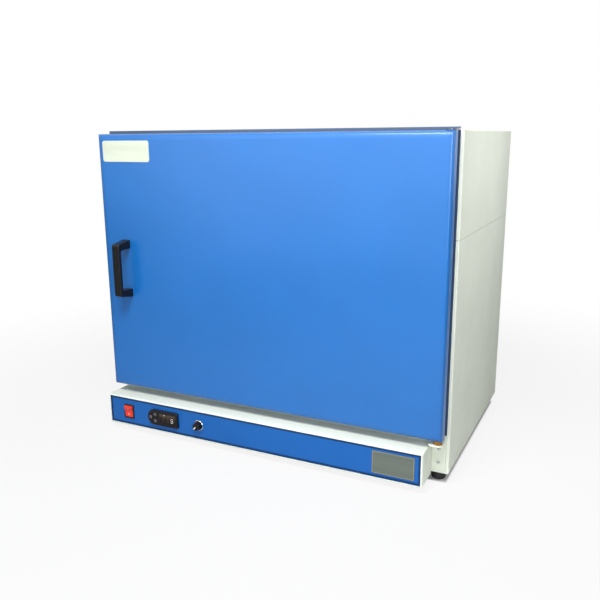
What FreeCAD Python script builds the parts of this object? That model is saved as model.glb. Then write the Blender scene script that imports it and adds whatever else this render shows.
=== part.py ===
import FreeCAD, Part

import math
import os

# Bench dry heat sterilizer with gravity convection and one side-hinged door.
# Millimetres. +X is to the right of somebody facing the door, +Y runs to the back, +Z is up.
# The origin is the bottom centre of the whole object: the feet stand on z = 0.

# Fits and cutting
seat_gap = 0.3
run_gap = 0.05
overrun = 6.0
direction_slack = 1e-6

# Casing of folded sheet
cabinet_width = 772.0
cabinet_height = 642.0
cabinet_depth = 477.0
foot_height = 22.0
sheet = 1.2
bend_radius = 2.5
front_return = 6.0
hem_depth = 14.0
rear_return = 16.0
seam_from_top = 192.0
seam_gap = 1.2
seam_strip_height = 24.0
rear_panel_inset = 4.0

# Door, its stand-off from the casing and its hinge line
door_free_gap = 0.5
door_hinge_gap = 6.0
door_top_gap = 2.0
door_rise = 80.0
door_stand_off = 40.0
pan_depth = 20.0
pan_edge_radius = 5.0
pan_lip = 12.0
inner_inset = 20.0
seal_height = 4.0
inner_corner_radius = 9.0
inner_edge_radius = 4.0
plug_margin = 10.0
plug_height = 8.0
plug_corner_radius = 16.0
pivot_inset = 10.0
pivot_setback = 12.0
pin_radius = 4.0
pin_reach = 25.0
pin_head_radius = 6.0
pin_head_height = 2.0
hinge_block_half = 8.0
hinge_block_height = 26.5
hinge_block_fore = 7.0
hinge_block_aft = 6.5
bracket_sheet = 3.0
lower_ear_drop = 8.0
upper_ear_clearance = 0.6
ear_nose = 10.0
lower_bracket_inner = 17.5
upper_bracket_inner = 8.0
bracket_outer = 9.0
lower_leg_height = 64.0
upper_leg_height = 60.0
bracket_nose_radius = 8.0
bracket_screw_drop = 20.0
bracket_screw_pitch = 28.0
washer_radius = 8.5
catch_width = 11.0
catch_height = 46.0
catch_inset = 7.0
catch_spread = 120.0
strike_width = 8.0
strike_sheet = 0.9

# Bridge handle and the small plate on the door
handle_reach = 38.0
handle_width = 19.0
handle_length = 126.0
handle_nose_length = 113.0
handle_arm = 18.0
handle_nose_arm = 13.5
handle_grip = 8.0
handle_from_edge = 59.5
handle_below_middle = 5.6
handle_nose_radius = 4.5
handle_throat_radius = 5.0
handle_edge_radius = 2.0
handle_screw_spacing = 110.0
door_plate_width = 121.0
door_plate_height = 43.5
door_plate_from_edge = 12.5
door_plate_from_top = 13.8
door_plate_radius = 5.0
door_plate_sheet = 1.0

# Chamber, its frame and what lines it
chamber_side_room = 76.0
chamber_top_room = 57.0
chamber_back_room = 75.5
chamber_rise = 135.0
chamber_radius = 12.0
liner_sheet = 1.0
liner_flange = 14.0
frame_sheet = 1.5
frame_turn = 15.0
frame_drop = 2.0
crest_rise = 4.5
crest_lap = 12.0
seal_margin = 10.0
seal_width = 12.0
seal_crown = 2.9
tray_drop = 65.0
tray_inset = 7.0
rear_gap = 14.0

# Racks, shelves, floor plate
rack_levels = 5
rack_first_level = 68.0
rack_top_room = 82.0
rack_post_width = 20.0
rack_post_sheet = 2.0
rack_post_margin = 55.0
rack_runner_width = 12.0
rack_runner_height = 10.0
rack_runner_sheet = 1.2
rack_end_margin = 12.0
rack_overlap = 22.0
shelf_side_gap = 3.0
shelf_end_gap = 17.0
shelf_rod_radius = 3.0
shelf_wire_radius = 1.6
shelf_cross_radius = 2.2
shelf_wires = 19
shelf_corner_radius = 14.0
plate_rise = 36.0
plate_sheet = 1.5
plate_side_gap = 12.0
plate_front_gap = 12.0
plate_back_gap = 14.0
plate_slot_web = 20.0
plate_slot_width = 6.0
plate_slot_columns = 8
plate_slot_rows = 5

# Heating elements, sensors, vent
heater_radius = 4.0
heater_rise = 14.0
heater_side_room = 80.0
heater_runs = 4
heater_inner = 80.0
heater_front_gap = 45.0
heater_back_gap = 30.0
heater_tail = 46.0
heater_stud_radius = 2.0
heater_stud_length = 12.0
gland_radius = 8.0
gland_length = 4.0
saddle_width = 12.0
probe_radius = 3.0
probe_reach = 70.0
probe_tail = 30.0
probe_from_middle = 60.0
bulb_radius = 4.0
bulb_reach = 60.0
vent_radius = 16.0
vent_tube_radius = 15.5
vent_bore_radius = 13.5
vent_length = 25.0
vent_flange_radius = 27.0
vent_flange_sheet = 2.0
vent_drop = 47.0
vent_inner_reach = 6.0
vent_screw_circle_radius = 21.5
vent_screws = 3
vent_plate_half = 55.0
vent_window_half = 48.0
vent_plate_screw_reach = 51.5

# Control box and what is on its face
box_right_gap = 34.0
box_height = 69.0
box_depth = 62.5
box_below_door = 18.0
box_corner_radius = 3.0
box_edge_radius = 2.5
box_rim = 5.0
box_flange = 12.0
fascia_sheet = 1.5
fascia_lap = 2.4
rocker_from_left = 55.0
rocker_bezel_width = 27.0
rocker_bezel_height = 33.0
rocker_bezel_rise = 2.0
rocker_housing_width = 25.0
rocker_housing_height = 30.0
rocker_housing_depth = 18.0
rocker_width = 21.0
rocker_radius = 13.4
rocker_proud = 2.4
rocker_tilt = 10.0
rocker_depth = 5.0
rocker_pivot_radius = 1.5
rocker_pivot_length = 1.2
rocker_wall_gap = 0.4
controller_from_left = 151.0
controller_width = 80.0
controller_height = 35.0
controller_rise = 6.0
controller_corner_radius = 4.0
controller_edge_radius = 1.5
controller_body_margin = 4.5
controller_body_height = 29.0
controller_body_depth = 50.0
window_from_left = 32.0
window_height = 23.0
window_from_right = 5.0
window_sheet = 1.2
window_radius = 2.0
key_radius = 3.6
key_gap = 0.3
key_rise = 0.9
key_collar_radius = 4.6
key_collar_height = 1.0
key_travel = 0.6
key_face_sheet = 1.6
key_first_from_left = 8.5
key_pair_from_left = 20.5
key_pair_spread = 7.5
knob_from_left = 243.0
knob_radius = 9.4
knob_top_radius = 8.1
knob_height = 12.0
knob_flutes = 10
knob_flute_radius = 2.4
knob_flute_depth = 0.9
knob_edge_radius = 1.2
knob_pointer_width = 1.6
knob_pointer_depth = 0.7
knob_rest_turn = 225.0
knob_float = 0.5
ring_radius = 11.6
ring_rise = 2.2
ring_gap = 0.6
shaft_radius = 3.0
shaft_length = 24.0
limiter_width = 40.0
limiter_height = 36.0
limiter_depth = 26.0
limiter_bush_radius = 5.0
nameplate_width = 84.0
nameplate_height = 46.0
nameplate_from_right = 10.5
nameplate_sheet = 0.8
nameplate_radius = 2.0

# Wiring space under the chamber and the back
wire_window_width = 200.0
wire_window_height = 38.0
wire_window_from_left = 70.0
wire_window_radius = 6.0
relay_width = 45.0
relay_length = 58.0
relay_height = 30.0
relay_x = 60.0
relay_step = 8.0
terminal_ways = 6
terminal_pitch = 12.0
terminal_depth = 32.0
terminal_height = 20.0
terminal_x = -110.0
terminal_bore_radius = 3.4
inlet_from_left = 86.0
inlet_rise = 46.0
inlet_flange_width = 50.0
inlet_flange_height = 24.0
inlet_flange_sheet = 2.5
inlet_body_width = 28.0
inlet_body_height = 21.0
inlet_body_depth = 24.0
inlet_recess_width = 24.5
inlet_recess_height = 16.5
inlet_recess_depth = 17.0
inlet_recess_radius = 3.0
inlet_pin_width = 2.0
inlet_pin_height = 4.0
inlet_pin_spread = 7.0
inlet_pin_lift = 2.0
inlet_pin_length = 15.0
inlet_screw_spacing = 40.0
inlet_plate_width = 140.0
inlet_plate_height = 60.0
inlet_plate_radius = 5.0
inlet_window_width = 124.0
inlet_window_height = 48.0
inlet_plate_screw_spacing = 132.0
louvre_columns = 7
louvre_rows = 3
louvre_pitch_x = 44.0
louvre_pitch_z = 12.0
louvre_length = 34.0
louvre_width = 4.0
louvre_x = 0.0
louvre_rise = 26.0
base_slots = 8
base_slot_pitch = 14.0
base_slot_length = 60.0
base_slot_width = 4.0

# Screws
screw_radius = 2.0
screw_hole_radius = 2.1
screw_head_radius = 3.8
screw_head_height = 2.2
screw_length = 8.0
handle_screw_radius = 2.4
handle_screw_reach = 18.0
rear_screw_inset = 10.0
rear_screw_columns = 4
rear_screw_rows = 4
rear_screw_end = 80.0

# Feet
foot_radius = 17.0
foot_tip_radius = 13.0
foot_edge_radius = 1.5
foot_inset = 25.0
foot_recess_radius = 6.0
foot_recess_depth = 9.0

# Places worked out from the sizes above
left_x = -cabinet_width / 2
right_x = cabinet_width / 2
base_z = foot_height
top_z = base_z + cabinet_height
inner_base_z = base_z + sheet
inner_top_z = top_z - sheet
seam_z = top_z - seam_from_top
vent_reach = vent_flange_sheet + vent_length
overall_depth = handle_reach + door_stand_off + cabinet_depth + 2 * sheet + vent_reach
front_y = handle_reach + door_stand_off - overall_depth / 2
back_y = front_y + cabinet_depth
outside_y = back_y + sheet
cover_y = outside_y + sheet

door_left = left_x + door_free_gap
door_right = right_x - door_hinge_gap
door_z0 = base_z + door_rise
door_z1 = top_z - door_top_gap
door_y = front_y - door_stand_off
lip_y = door_y + pan_depth
inner_back_y = front_y - seal_height
pivot_x = door_right - pivot_inset
pivot_y = door_y + pivot_setback

mouth_x = right_x - chamber_side_room
chamber_z0 = base_z + chamber_rise
chamber_z1 = top_z - chamber_top_room
liner_y = front_y + frame_sheet
chamber_back_y = back_y - chamber_back_room
liner_back_y = chamber_back_y + liner_sheet
pack_front_y = front_y + frame_turn + seat_gap
pack_back_y = back_y - rear_gap
tray_z = chamber_z0 - tray_drop
frame_half = right_x - front_return - seat_gap
frame_z0 = door_z0 - frame_drop
frame_z1 = inner_top_z - seat_gap
rack_pitch = (chamber_z1 - chamber_z0 - rack_first_level - rack_top_room) / (rack_levels - 1)
middle_level = rack_levels // 2
probe_height = rack_first_level + middle_level * rack_pitch
heater_pitch = (mouth_x - heater_side_room - heater_inner) / (heater_runs - 1)
inlet_x = left_x + inlet_from_left

box_left = left_x
box_right = right_x - box_right_gap
box_z1 = door_z0 - box_below_door
box_z0 = box_z1 - box_height
box_y = front_y - box_depth
fascia_y = box_y + sheet
controls_z = (box_z0 + box_z1) / 2

# Directions
along_x = FreeCAD.Vector(1, 0, 0)
along_y = FreeCAD.Vector(0, 1, 0)
along_z = FreeCAD.Vector(0, 0, 1)
both_sides = (-1, 1)


def spot(x, y, z):
    """A point of the object's frame."""
    return FreeCAD.Vector(x, y, z)


def block(x0, x1, y0, y1, z0, z1):
    """A box between two corners."""
    return Part.makeBox(x1 - x0, y1 - y0, z1 - z0, spot(x0, y0, z0))


def rod(start, axis, radius, length):
    """A round bar from its start along an axis."""
    return Part.makeCylinder(radius, length, start, axis)


def tube(start, axis, outer, inner, length):
    """A round bar with a bore right through."""
    bore = rod(start - axis * overrun, axis, inner, length + 2 * overrun)
    return rod(start, axis, outer, length).cut(bore)


def joined(shapes):
    """One solid from pieces that touch or overlap."""
    whole = shapes[0].multiFuse(shapes[1:]) if len(shapes) > 1 else shapes[0]
    return whole.removeSplitter()


def group(shapes):
    """Separate solids kept in one node."""
    return Part.makeCompound(shapes)


def without(body, cutters):
    """The body with every cutter taken out of it."""
    return body.cut(Part.makeCompound(cutters)) if cutters else body


def edges_along(body, axis):
    """The straight edges that run along an axis."""
    found = []
    for edge in body.Edges:
        turn = edge.tangentAt(edge.FirstParameter).cross(axis).Length
        if isinstance(edge.Curve, Part.Line) and turn < direction_slack:
            found.append(edge)
    return found


def edges_in_plane(body, y):
    """The edges that lie in the upright plane at y."""
    box_of = [(edge, edge.BoundBox) for edge in body.Edges]
    return [edge for edge, b in box_of if abs(b.YMin - y) < run_gap and abs(b.YMax - y) < run_gap]


def rounded(axis, radius, x0, x1, y0, y1, z0, z1):
    """A box whose four edges along an axis are rounded."""
    body = block(x0, x1, y0, y1, z0, z1)
    return body.makeFillet(radius, edges_along(body, axis))


def pressed(corner_radius, edge_radius, x0, x1, y0, y1, z0, z1, face_y):
    """A box with rounded corners, whose outline in the plane face_y is rounded over too."""
    body = rounded(along_y, corner_radius, x0, x1, y0, y1, z0, z1)
    return body.makeFillet(edge_radius, edges_in_plane(body, face_y))


def folded(radius, x0, x1, y0, y1, z0, z1):
    """A box whose front is rounded over towards its four sides, with mitred corners like folded sheet."""
    body = block(x0, x1, y0, y1, z0, z1)
    bends = []
    for axis in (along_x, along_z):
        front = [edge for edge in edges_along(body, axis) if abs(edge.Vertexes[0].Y - y0) < run_gap]
        bends.append(body.makeFillet(radius, front))
    return bends[0].common(bends[1])


def obround(axis, centre, length, width, deep):
    """A slot cutter that is long in X, with round ends, carried along Y or Z."""
    half = (length - width) / 2
    ends = [rod(centre + along_x * half * side, axis, width / 2, deep) for side in both_sides]
    low = centre - along_x * half
    if axis == along_y:
        middle = block(low.x, low.x + 2 * half, low.y, low.y + deep, low.z - width / 2, low.z + width / 2)
    else:
        middle = block(low.x, low.x + 2 * half, low.y - width / 2, low.y + width / 2, low.z, low.z + deep)
    return joined([middle] + ends)


def evenly(first, last, count):
    """Places spread evenly from first to last."""
    return [first + (last - first) * step / (count - 1) for step in range(count)]


def pan_head_screw(seat, axis, shank_radius=screw_radius, shank_length=screw_length):
    """A pan head screw: its head stands on the seat and its shank runs along the axis."""
    crown = screw_head_height / 2
    head = rod(seat - axis * crown, axis, screw_head_radius, crown)
    dome = Part.makeCone(screw_head_radius - crown, screw_head_radius, crown, seat - axis * 2 * crown, axis)
    return joined([dome, head, rod(seat, axis, shank_radius, shank_length)])


# Casing


def casing_form(inset):
    """The casing's outline drawn in by inset, rounded along its upright and its fore-and-aft edges."""
    radius = bend_radius - inset
    span = (left_x + inset, right_x - inset, front_y + inset, back_y - inset, base_z + inset, top_z - inset)
    return rounded(along_y, radius, *span).common(rounded(along_z, radius, *span))


def rear_screw_places():
    """Where the rear panel is screwed to the casing's rear return."""
    edge_x = right_x - rear_screw_inset
    low_z, high_z = base_z + rear_screw_inset, top_z - rear_screw_inset
    rows = evenly(base_z + rear_screw_end, top_z - rear_screw_end, rear_screw_rows)
    columns = evenly(left_x + rear_screw_end, right_x - rear_screw_end, rear_screw_columns)
    sides = [(side * edge_x, z) for side in both_sides for z in rows]
    return sides + [(x, z) for x in columns for z in (low_z, high_z)]


def rear_screw_holes():
    """Cutters through the rear return and the rear panel."""
    start = back_y - sheet - overrun
    deep = 2 * (sheet + overrun)
    return [rod(spot(x, start, z), along_y, screw_hole_radius, deep) for x, z in rear_screw_places()]


def casing_shell():
    """The whole casing before the seam parts it: one skin, open in front, with hems and a rear return."""
    shell = casing_form(0).cut(casing_form(sheet))
    front = block(left_x + front_return, right_x - front_return, front_y - overrun,
                  front_y + sheet + overrun, inner_base_z, inner_top_z)
    rear = block(left_x + rear_return, right_x - rear_return, back_y - sheet - overrun,
                 back_y + overrun, base_z + rear_return, top_z - rear_return)
    shell = shell.cut(front).cut(rear)
    hem_x = right_x - front_return
    hems = [
        block(hem_x, hem_x + sheet, front_y, front_y + hem_depth, inner_base_z, inner_top_z),
        block(-hem_x - sheet, -hem_x, front_y, front_y + hem_depth, inner_base_z, inner_top_z),
    ]
    return without(joined([shell] + hems), rear_screw_holes())


def foot_places():
    """The four foot axes, by name."""
    rows = {"front": front_y + foot_inset, "rear": back_y - foot_inset}
    columns = {"left": left_x + foot_inset, "right": right_x - foot_inset}
    return {f"{row}_{column}": (columns[column], rows[row]) for row in rows for column in columns}


def lower_shell(shell):
    """Lower part of the casing with its floor, foot holes and air slots."""
    deep = sheet + 2 * overrun
    half = block(left_x, right_x, front_y, back_y, base_z, seam_z)
    start_z = base_z - overrun
    holes = [rod(spot(x, y, start_z), along_z, screw_hole_radius, deep) for x, y in foot_places().values()]
    middle = (base_slots - 1) / 2
    for side in both_sides:
        for step in range(base_slots):
            y = (front_y + back_y) / 2 + (step - middle) * base_slot_pitch
            centre = spot(relay_x + side * base_slot_length, y, start_z)
            holes.append(obround(along_z, centre, base_slot_length, base_slot_width, deep))
    return without(shell.common(half), holes)


def upper_cover(shell):
    """Upper part of the casing, from the seam to the top."""
    half = block(left_x, right_x, front_y, back_y, seam_z + seam_gap, top_z)
    return shell.common(half)


def seam_strips():
    """Backing strips behind the seam, one on each side."""
    low, high = seam_z - seam_strip_height / 2, seam_z + seam_strip_height / 2
    y0, y1 = front_y + bend_radius + seat_gap, back_y - bend_radius - seat_gap
    outer = right_x - sheet
    return group([
        block(outer - sheet, outer, y0, y1, low, high),
        block(-outer, -outer + sheet, y0, y1, low, high),
    ])


def louvre_slots(start, deep):
    """Rows of air slots in the rear panel."""
    slots = []
    middle = (louvre_columns - 1) / 2
    for column in range(louvre_columns):
        for row in range(louvre_rows):
            x = louvre_x + (column - middle) * louvre_pitch_x
            z = base_z + louvre_rise + row * louvre_pitch_z
            slots.append(obround(along_y, spot(x, start, z), louvre_length, louvre_width, deep))
    return slots


def vent_screw_places():
    """Screw places on the vent's flange, as x and z."""
    turns = [math.tau * step / vent_screws for step in range(vent_screws)]
    radius = vent_screw_circle_radius
    return [(radius * math.sin(turn), vent_z() + radius * math.cos(turn)) for turn in turns]


def vent_z():
    """Height of the vent's axis."""
    return chamber_z1 - vent_drop


def inlet_z():
    """Height of the power inlet's middle."""
    return base_z + inlet_rise


def inlet_screw_places():
    """The two screws of the power inlet's flange, as x and z."""
    return [(inlet_x + side * inlet_screw_spacing / 2, inlet_z()) for side in both_sides]


def vent_plate_screws():
    """The four corner screws of the vent's plate, as x and z."""
    reach = vent_plate_screw_reach
    return [(side * reach, vent_z() + rise * reach) for side in both_sides for rise in both_sides]


def inlet_plate_screws():
    """The two screws of the inlet's plate, as x and z."""
    return [(inlet_x + side * inlet_plate_screw_spacing / 2, inlet_z()) for side in both_sides]


def through_back(places):
    """Screw cutters through everything on the back."""
    start = back_y - overrun
    return [rod(spot(x, start, z), along_y, screw_hole_radius, 2 * (sheet + overrun)) for x, z in places]


def rear_panel():
    """Flat back with its two windows, for the vent and for the inlet, and its air slots."""
    start = back_y - overrun
    deep = sheet + 2 * overrun
    panel = rounded(along_y, rear_panel_inset, left_x + rear_panel_inset, right_x - rear_panel_inset,
                    back_y, outside_y, base_z + rear_panel_inset, top_z - rear_panel_inset)
    half_w, half_h = inlet_window_width / 2, inlet_window_height / 2
    cutters = [
        block(-vent_window_half, vent_window_half, start, start + deep, vent_z() - vent_window_half,
              vent_z() + vent_window_half),
        block(inlet_x - half_w, inlet_x + half_w, start, start + deep, inlet_z() - half_h,
              inlet_z() + half_h),
    ]
    cutters += through_back(vent_plate_screws() + inlet_plate_screws())
    return without(panel, cutters + louvre_slots(start, deep) + rear_screw_holes())


def vent_plate():
    """Square plate over the vent's window, bored for the tube."""
    plate = rounded(along_y, inlet_plate_radius, -vent_plate_half, vent_plate_half, outside_y, cover_y,
                    vent_z() - vent_plate_half, vent_z() + vent_plate_half)
    bore = rod(spot(0, back_y, vent_z()), along_y, vent_tube_radius + seat_gap, overrun)
    return without(plate, [bore] + through_back(vent_screw_places() + vent_plate_screws()))


def inlet_plate():
    """Plate over the inlet's window, cut out for the inlet's body."""
    half_w, half_h = inlet_plate_width / 2, inlet_plate_height / 2
    plate = rounded(along_y, inlet_plate_radius, inlet_x - half_w, inlet_x + half_w, outside_y, cover_y,
                    inlet_z() - half_h, inlet_z() + half_h)
    half_w, half_h = inlet_body_width / 2 + seat_gap, inlet_body_height / 2 + seat_gap
    cut_out = block(inlet_x - half_w, inlet_x + half_w, back_y, back_y + overrun, inlet_z() - half_h,
                    inlet_z() + half_h)
    return without(plate, [cut_out] + through_back(inlet_screw_places() + inlet_plate_screws()))


def rear_screws():
    """Pan head screws of the rear panel, its two plates, the vent flange and the power inlet."""
    seats = {
        outside_y: rear_screw_places(),
        cover_y: vent_plate_screws() + inlet_plate_screws(),
        cover_y + vent_flange_sheet: vent_screw_places(),
        cover_y + inlet_flange_sheet: inlet_screw_places(),
    }
    inward = along_y * -1
    return group([pan_head_screw(spot(x, y, z), inward) for y, places in seats.items() for x, z in places])


def turned_panel(z0, z1):
    """A front panel whose four edges are turned back inside the casing's hems."""
    outer = block(-frame_half, frame_half, front_y, front_y + frame_turn, z0, z1)
    inner = block(-frame_half + frame_sheet, frame_half - frame_sheet, liner_y,
                  front_y + frame_turn + overrun, z0 + frame_sheet, z1 - frame_sheet)
    return outer.cut(inner)


def front_frame():
    """Dark frame round the chamber's mouth, with a crest over the casing's edge."""
    mouth = rounded(along_y, chamber_radius, -mouth_x, mouth_x, front_y - overrun, liner_y + overrun,
                    chamber_z0, chamber_z1)
    start = front_y - overrun
    holes = [rod(spot(x, start, z), along_y, screw_hole_radius, frame_sheet + 2 * overrun)
             for x, z in upper_bracket_screws()]
    crest = block(left_x, frame_half, front_y - frame_sheet, front_y, frame_z1 - crest_lap,
                  top_z + crest_rise)
    notch = block(pivot_x - upper_bracket_inner - seat_gap, frame_half + overrun, front_y - overrun, front_y,
                  frame_z1 - crest_lap - overrun, upper_ear_z() + bracket_sheet + seat_gap)
    return without(joined([turned_panel(frame_z0, frame_z1), crest.cut(notch)]), [mouth] + holes)


def lower_panel():
    """White panel under the front frame, with the wiring window behind the control box."""
    x0 = box_left + wire_window_from_left
    half = wire_window_height / 2
    window = rounded(along_y, wire_window_radius, x0, x0 + wire_window_width, front_y - overrun,
                     liner_y + overrun, controls_z - half, controls_z + half)
    start = front_y - overrun
    holes = [rod(spot(x, start, z), along_y, screw_hole_radius, frame_sheet + 2 * overrun)
             for x, z in lower_bracket_screws()]
    return without(turned_panel(inner_base_z + seat_gap, frame_z0 - seat_gap), [window] + holes)


# Chamber


def back_wall_bores(gap, y0, y1):
    """Cutters through the back for the heater tails, the sensors and the vent, wider by gap."""
    bores = [rod(spot(0, y0, vent_z()), along_y, vent_tube_radius + gap, y1 - y0)]
    z = chamber_z0 + heater_rise
    for x in heater_tail_places():
        bores.append(rod(spot(x, y0, z), along_y, heater_radius + gap, y1 - y0))
    z = chamber_z0 + probe_height
    bores.append(rod(spot(probe_from_middle, y0, z), along_y, probe_radius + gap, y1 - y0))
    bores.append(rod(spot(-probe_from_middle, y0, z), along_y, bulb_radius + gap, y1 - y0))
    return bores


def inner_chamber():
    """Steel liner: a rounded box open in front, with a flange behind the front frame."""
    outer = rounded(along_y, chamber_radius + liner_sheet, -mouth_x - liner_sheet, mouth_x + liner_sheet,
                    liner_y, liner_back_y, chamber_z0 - liner_sheet, chamber_z1 + liner_sheet)
    reach = liner_flange + liner_sheet
    flange = rounded(along_y, chamber_radius, -mouth_x - reach, mouth_x + reach, liner_y,
                     liner_y + liner_sheet, chamber_z0 - reach, chamber_z1 + reach)
    hollow = rounded(along_y, chamber_radius, -mouth_x, mouth_x, liner_y - overrun, chamber_back_y,
                     chamber_z0, chamber_z1)
    body = joined([outer, flange]).cut(hollow)
    return without(body, back_wall_bores(seat_gap, chamber_back_y - overrun, liner_back_y + overrun))


def support_tray():
    """Folded tray under the chamber: it carries the wool and roofs the wiring space."""
    half = right_x - tray_inset
    outer = block(-half, half, pack_front_y, pack_back_y, inner_base_z, tray_z)
    inner = block(-half + sheet, half - sheet, pack_front_y - overrun, pack_back_y + overrun,
                  inner_base_z - overrun, tray_z - sheet)
    return outer.cut(inner)


def wool_sides():
    """Side slabs of mineral wool."""
    inner = mouth_x + liner_sheet + seat_gap
    outer = right_x - 2 * sheet - seat_gap
    z1 = inner_top_z - frame_sheet - 2 * seat_gap
    return group([
        block(inner, outer, pack_front_y, liner_back_y, tray_z, z1),
        block(-outer, -inner, pack_front_y, liner_back_y, tray_z, z1),
    ])


def wool_slab(z0, z1):
    """A slab above or below the chamber, between the side slabs."""
    half = mouth_x + liner_sheet
    return block(-half, half, pack_front_y, liner_back_y, z0, z1)


def wool_slabs():
    """Slabs over the chamber and under it, the lower one on the support tray."""
    top = wool_slab(chamber_z1 + liner_sheet + seat_gap, inner_top_z - frame_sheet - 2 * seat_gap)
    return group([top, wool_slab(tray_z, chamber_z0 - liner_sheet - seat_gap)])


def wool_back():
    """Slab behind the chamber, bored for the heater tails, the sensors and the vent."""
    outer = right_x - 2 * sheet - seat_gap
    y0 = liner_back_y + seat_gap
    slab = block(-outer, outer, y0, pack_back_y, tray_z, inner_top_z - frame_sheet - 2 * seat_gap)
    return without(slab, back_wall_bores(2 * seat_gap, y0 - overrun, pack_back_y + overrun))


def door_seal():
    """Silicone seal round the mouth: a flat strip with a crowned face towards the door."""
    reach = seal_margin + seal_width
    crest_y = inner_back_y + seat_gap
    outer = rounded(along_y, chamber_radius + reach, -mouth_x - reach, mouth_x + reach, crest_y, front_y,
                    chamber_z0 - reach, chamber_z1 + reach)
    inner = rounded(along_y, chamber_radius + seal_margin, -mouth_x - seal_margin, mouth_x + seal_margin,
                    crest_y - overrun, front_y + overrun, chamber_z0 - seal_margin, chamber_z1 + seal_margin)
    ring = outer.cut(inner)
    return ring.makeFillet(seal_crown, edges_in_plane(ring, crest_y))


def rack_level_z(level):
    """Height of the top of a runner."""
    return chamber_z0 + rack_first_level + level * rack_pitch


def shelf_racks():
    """The two side racks, alike but for their hand."""
    return group([shelf_rack(side) for side in both_sides])


def shelf_rack(side):
    """Side rack: two posts on the chamber's wall that carry angle runners."""
    wall = side * mouth_x
    post = side * (mouth_x - rack_post_sheet)
    tip = post - side * rack_runner_width
    web = post - side * rack_runner_sheet
    low = rack_level_z(0) - rack_overlap
    high = rack_level_z(rack_levels - 1) + rack_overlap
    pieces = []
    for y in (liner_y + rack_post_margin, chamber_back_y - rack_post_margin - rack_post_width):
        pieces.append(block(min(wall, post), max(wall, post), y, y + rack_post_width, low, high))
    y0, y1 = liner_y + rack_end_margin, chamber_back_y - rack_end_margin
    for level in range(rack_levels):
        z = rack_level_z(level)
        pieces.append(block(min(post, tip), max(post, tip), y0, y1, z - rack_runner_sheet, z))
        pieces.append(block(min(post, web), max(post, web), y0, y1, z - rack_runner_sheet,
                            z + rack_runner_height))
    return joined(pieces)


def arc(start, middle, end):
    """A round edge through three points."""
    return Part.Arc(start, middle, end).toShape()


def line(start, end):
    """A straight edge."""
    return Part.LineSegment(start, end).toShape()


def swept(edges, radius):
    """A round bar along a path of lines and arcs."""
    path = Part.Wire(edges)
    start = path.Edges[0].valueAt(path.Edges[0].FirstParameter)
    heading = path.Edges[0].tangentAt(path.Edges[0].FirstParameter)
    section = Part.Wire([Part.makeCircle(radius, start, heading)])
    return path.makePipeShell([section], True, False)


def shelf_hoop(half_x, y0, y1, z, radius):
    """The shelf's outer rod: a rounded rectangle of round bar."""
    bend = shelf_corner_radius
    slack = bend * (1 - math.cos(math.pi / 4))
    middle = (y0 + y1) / 2
    edges = [
        line(spot(half_x, middle, z), spot(half_x, y1 - bend, z)),
        arc(spot(half_x, y1 - bend, z), spot(half_x - slack, y1 - slack, z), spot(half_x - bend, y1, z)),
        line(spot(half_x - bend, y1, z), spot(bend - half_x, y1, z)),
        arc(spot(bend - half_x, y1, z), spot(slack - half_x, y1 - slack, z), spot(-half_x, y1 - bend, z)),
        line(spot(-half_x, y1 - bend, z), spot(-half_x, y0 + bend, z)),
        arc(spot(-half_x, y0 + bend, z), spot(slack - half_x, y0 + slack, z), spot(bend - half_x, y0, z)),
        line(spot(bend - half_x, y0, z), spot(half_x - bend, y0, z)),
        arc(spot(half_x - bend, y0, z), spot(half_x - slack, y0 + slack, z), spot(half_x, y0 + bend, z)),
        line(spot(half_x, y0 + bend, z), spot(half_x, middle, z)),
    ]
    return swept(edges, radius)


def wire_shelf(level):
    """Wire shelf: a hoop, wires from front to back in its plane, and two cross rods under them."""
    half_x = mouth_x - rack_post_sheet - shelf_side_gap - shelf_rod_radius
    z = rack_level_z(level) + seat_gap + shelf_rod_radius
    y0 = liner_y + shelf_end_gap + shelf_rod_radius
    y1 = chamber_back_y - shelf_end_gap - shelf_rod_radius
    pieces = [shelf_hoop(half_x, y0, y1, z, shelf_rod_radius)]
    pitch = 2 * half_x / (shelf_wires + 1)
    for step in range(shelf_wires):
        x = -half_x + (step + 1) * pitch
        pieces.append(rod(spot(x, y0, z), along_y, shelf_wire_radius, y1 - y0))
    drop = shelf_rod_radius - shelf_cross_radius
    for y in evenly(y0, y1, len(both_sides) + 2)[1:-1]:
        pieces.append(rod(spot(-half_x, y, z - drop), along_x, shelf_cross_radius, 2 * half_x))
    return joined(pieces)


def floor_plate():
    """Heat spreader over the heaters: a channel that stands on the floor, with rows of slots."""
    half = mouth_x - plate_side_gap
    y0, y1 = liner_y + plate_front_gap, chamber_back_y - plate_back_gap
    z1 = chamber_z0 + plate_rise
    plate = block(-half, half, y0, y1, chamber_z0, z1)
    plate = plate.cut(block(-half + plate_sheet, half - plate_sheet, y0 - overrun, y1 + overrun,
                            chamber_z0 - overrun, z1 - plate_sheet))
    step_x = 2 * half / (plate_slot_columns + 1)
    step_y = (y1 - y0) / (plate_slot_rows + 1)
    slots = []
    for column in range(plate_slot_columns):
        for row in range(plate_slot_rows):
            centre = spot(-half + (column + 1) * step_x, y0 + (row + 1) * step_y, z1 - plate_sheet - overrun)
            slots.append(obround(along_z, centre, step_x - plate_slot_web, plate_slot_width,
                                 plate_sheet + 2 * overrun))
    return without(plate, slots)


def heater_tail_places():
    """Where the heater tails pass the back wall."""
    outer = heater_inner + (heater_runs - 1) * heater_pitch
    return [side * x for side in both_sides for x in (heater_inner, outer)]


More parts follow.
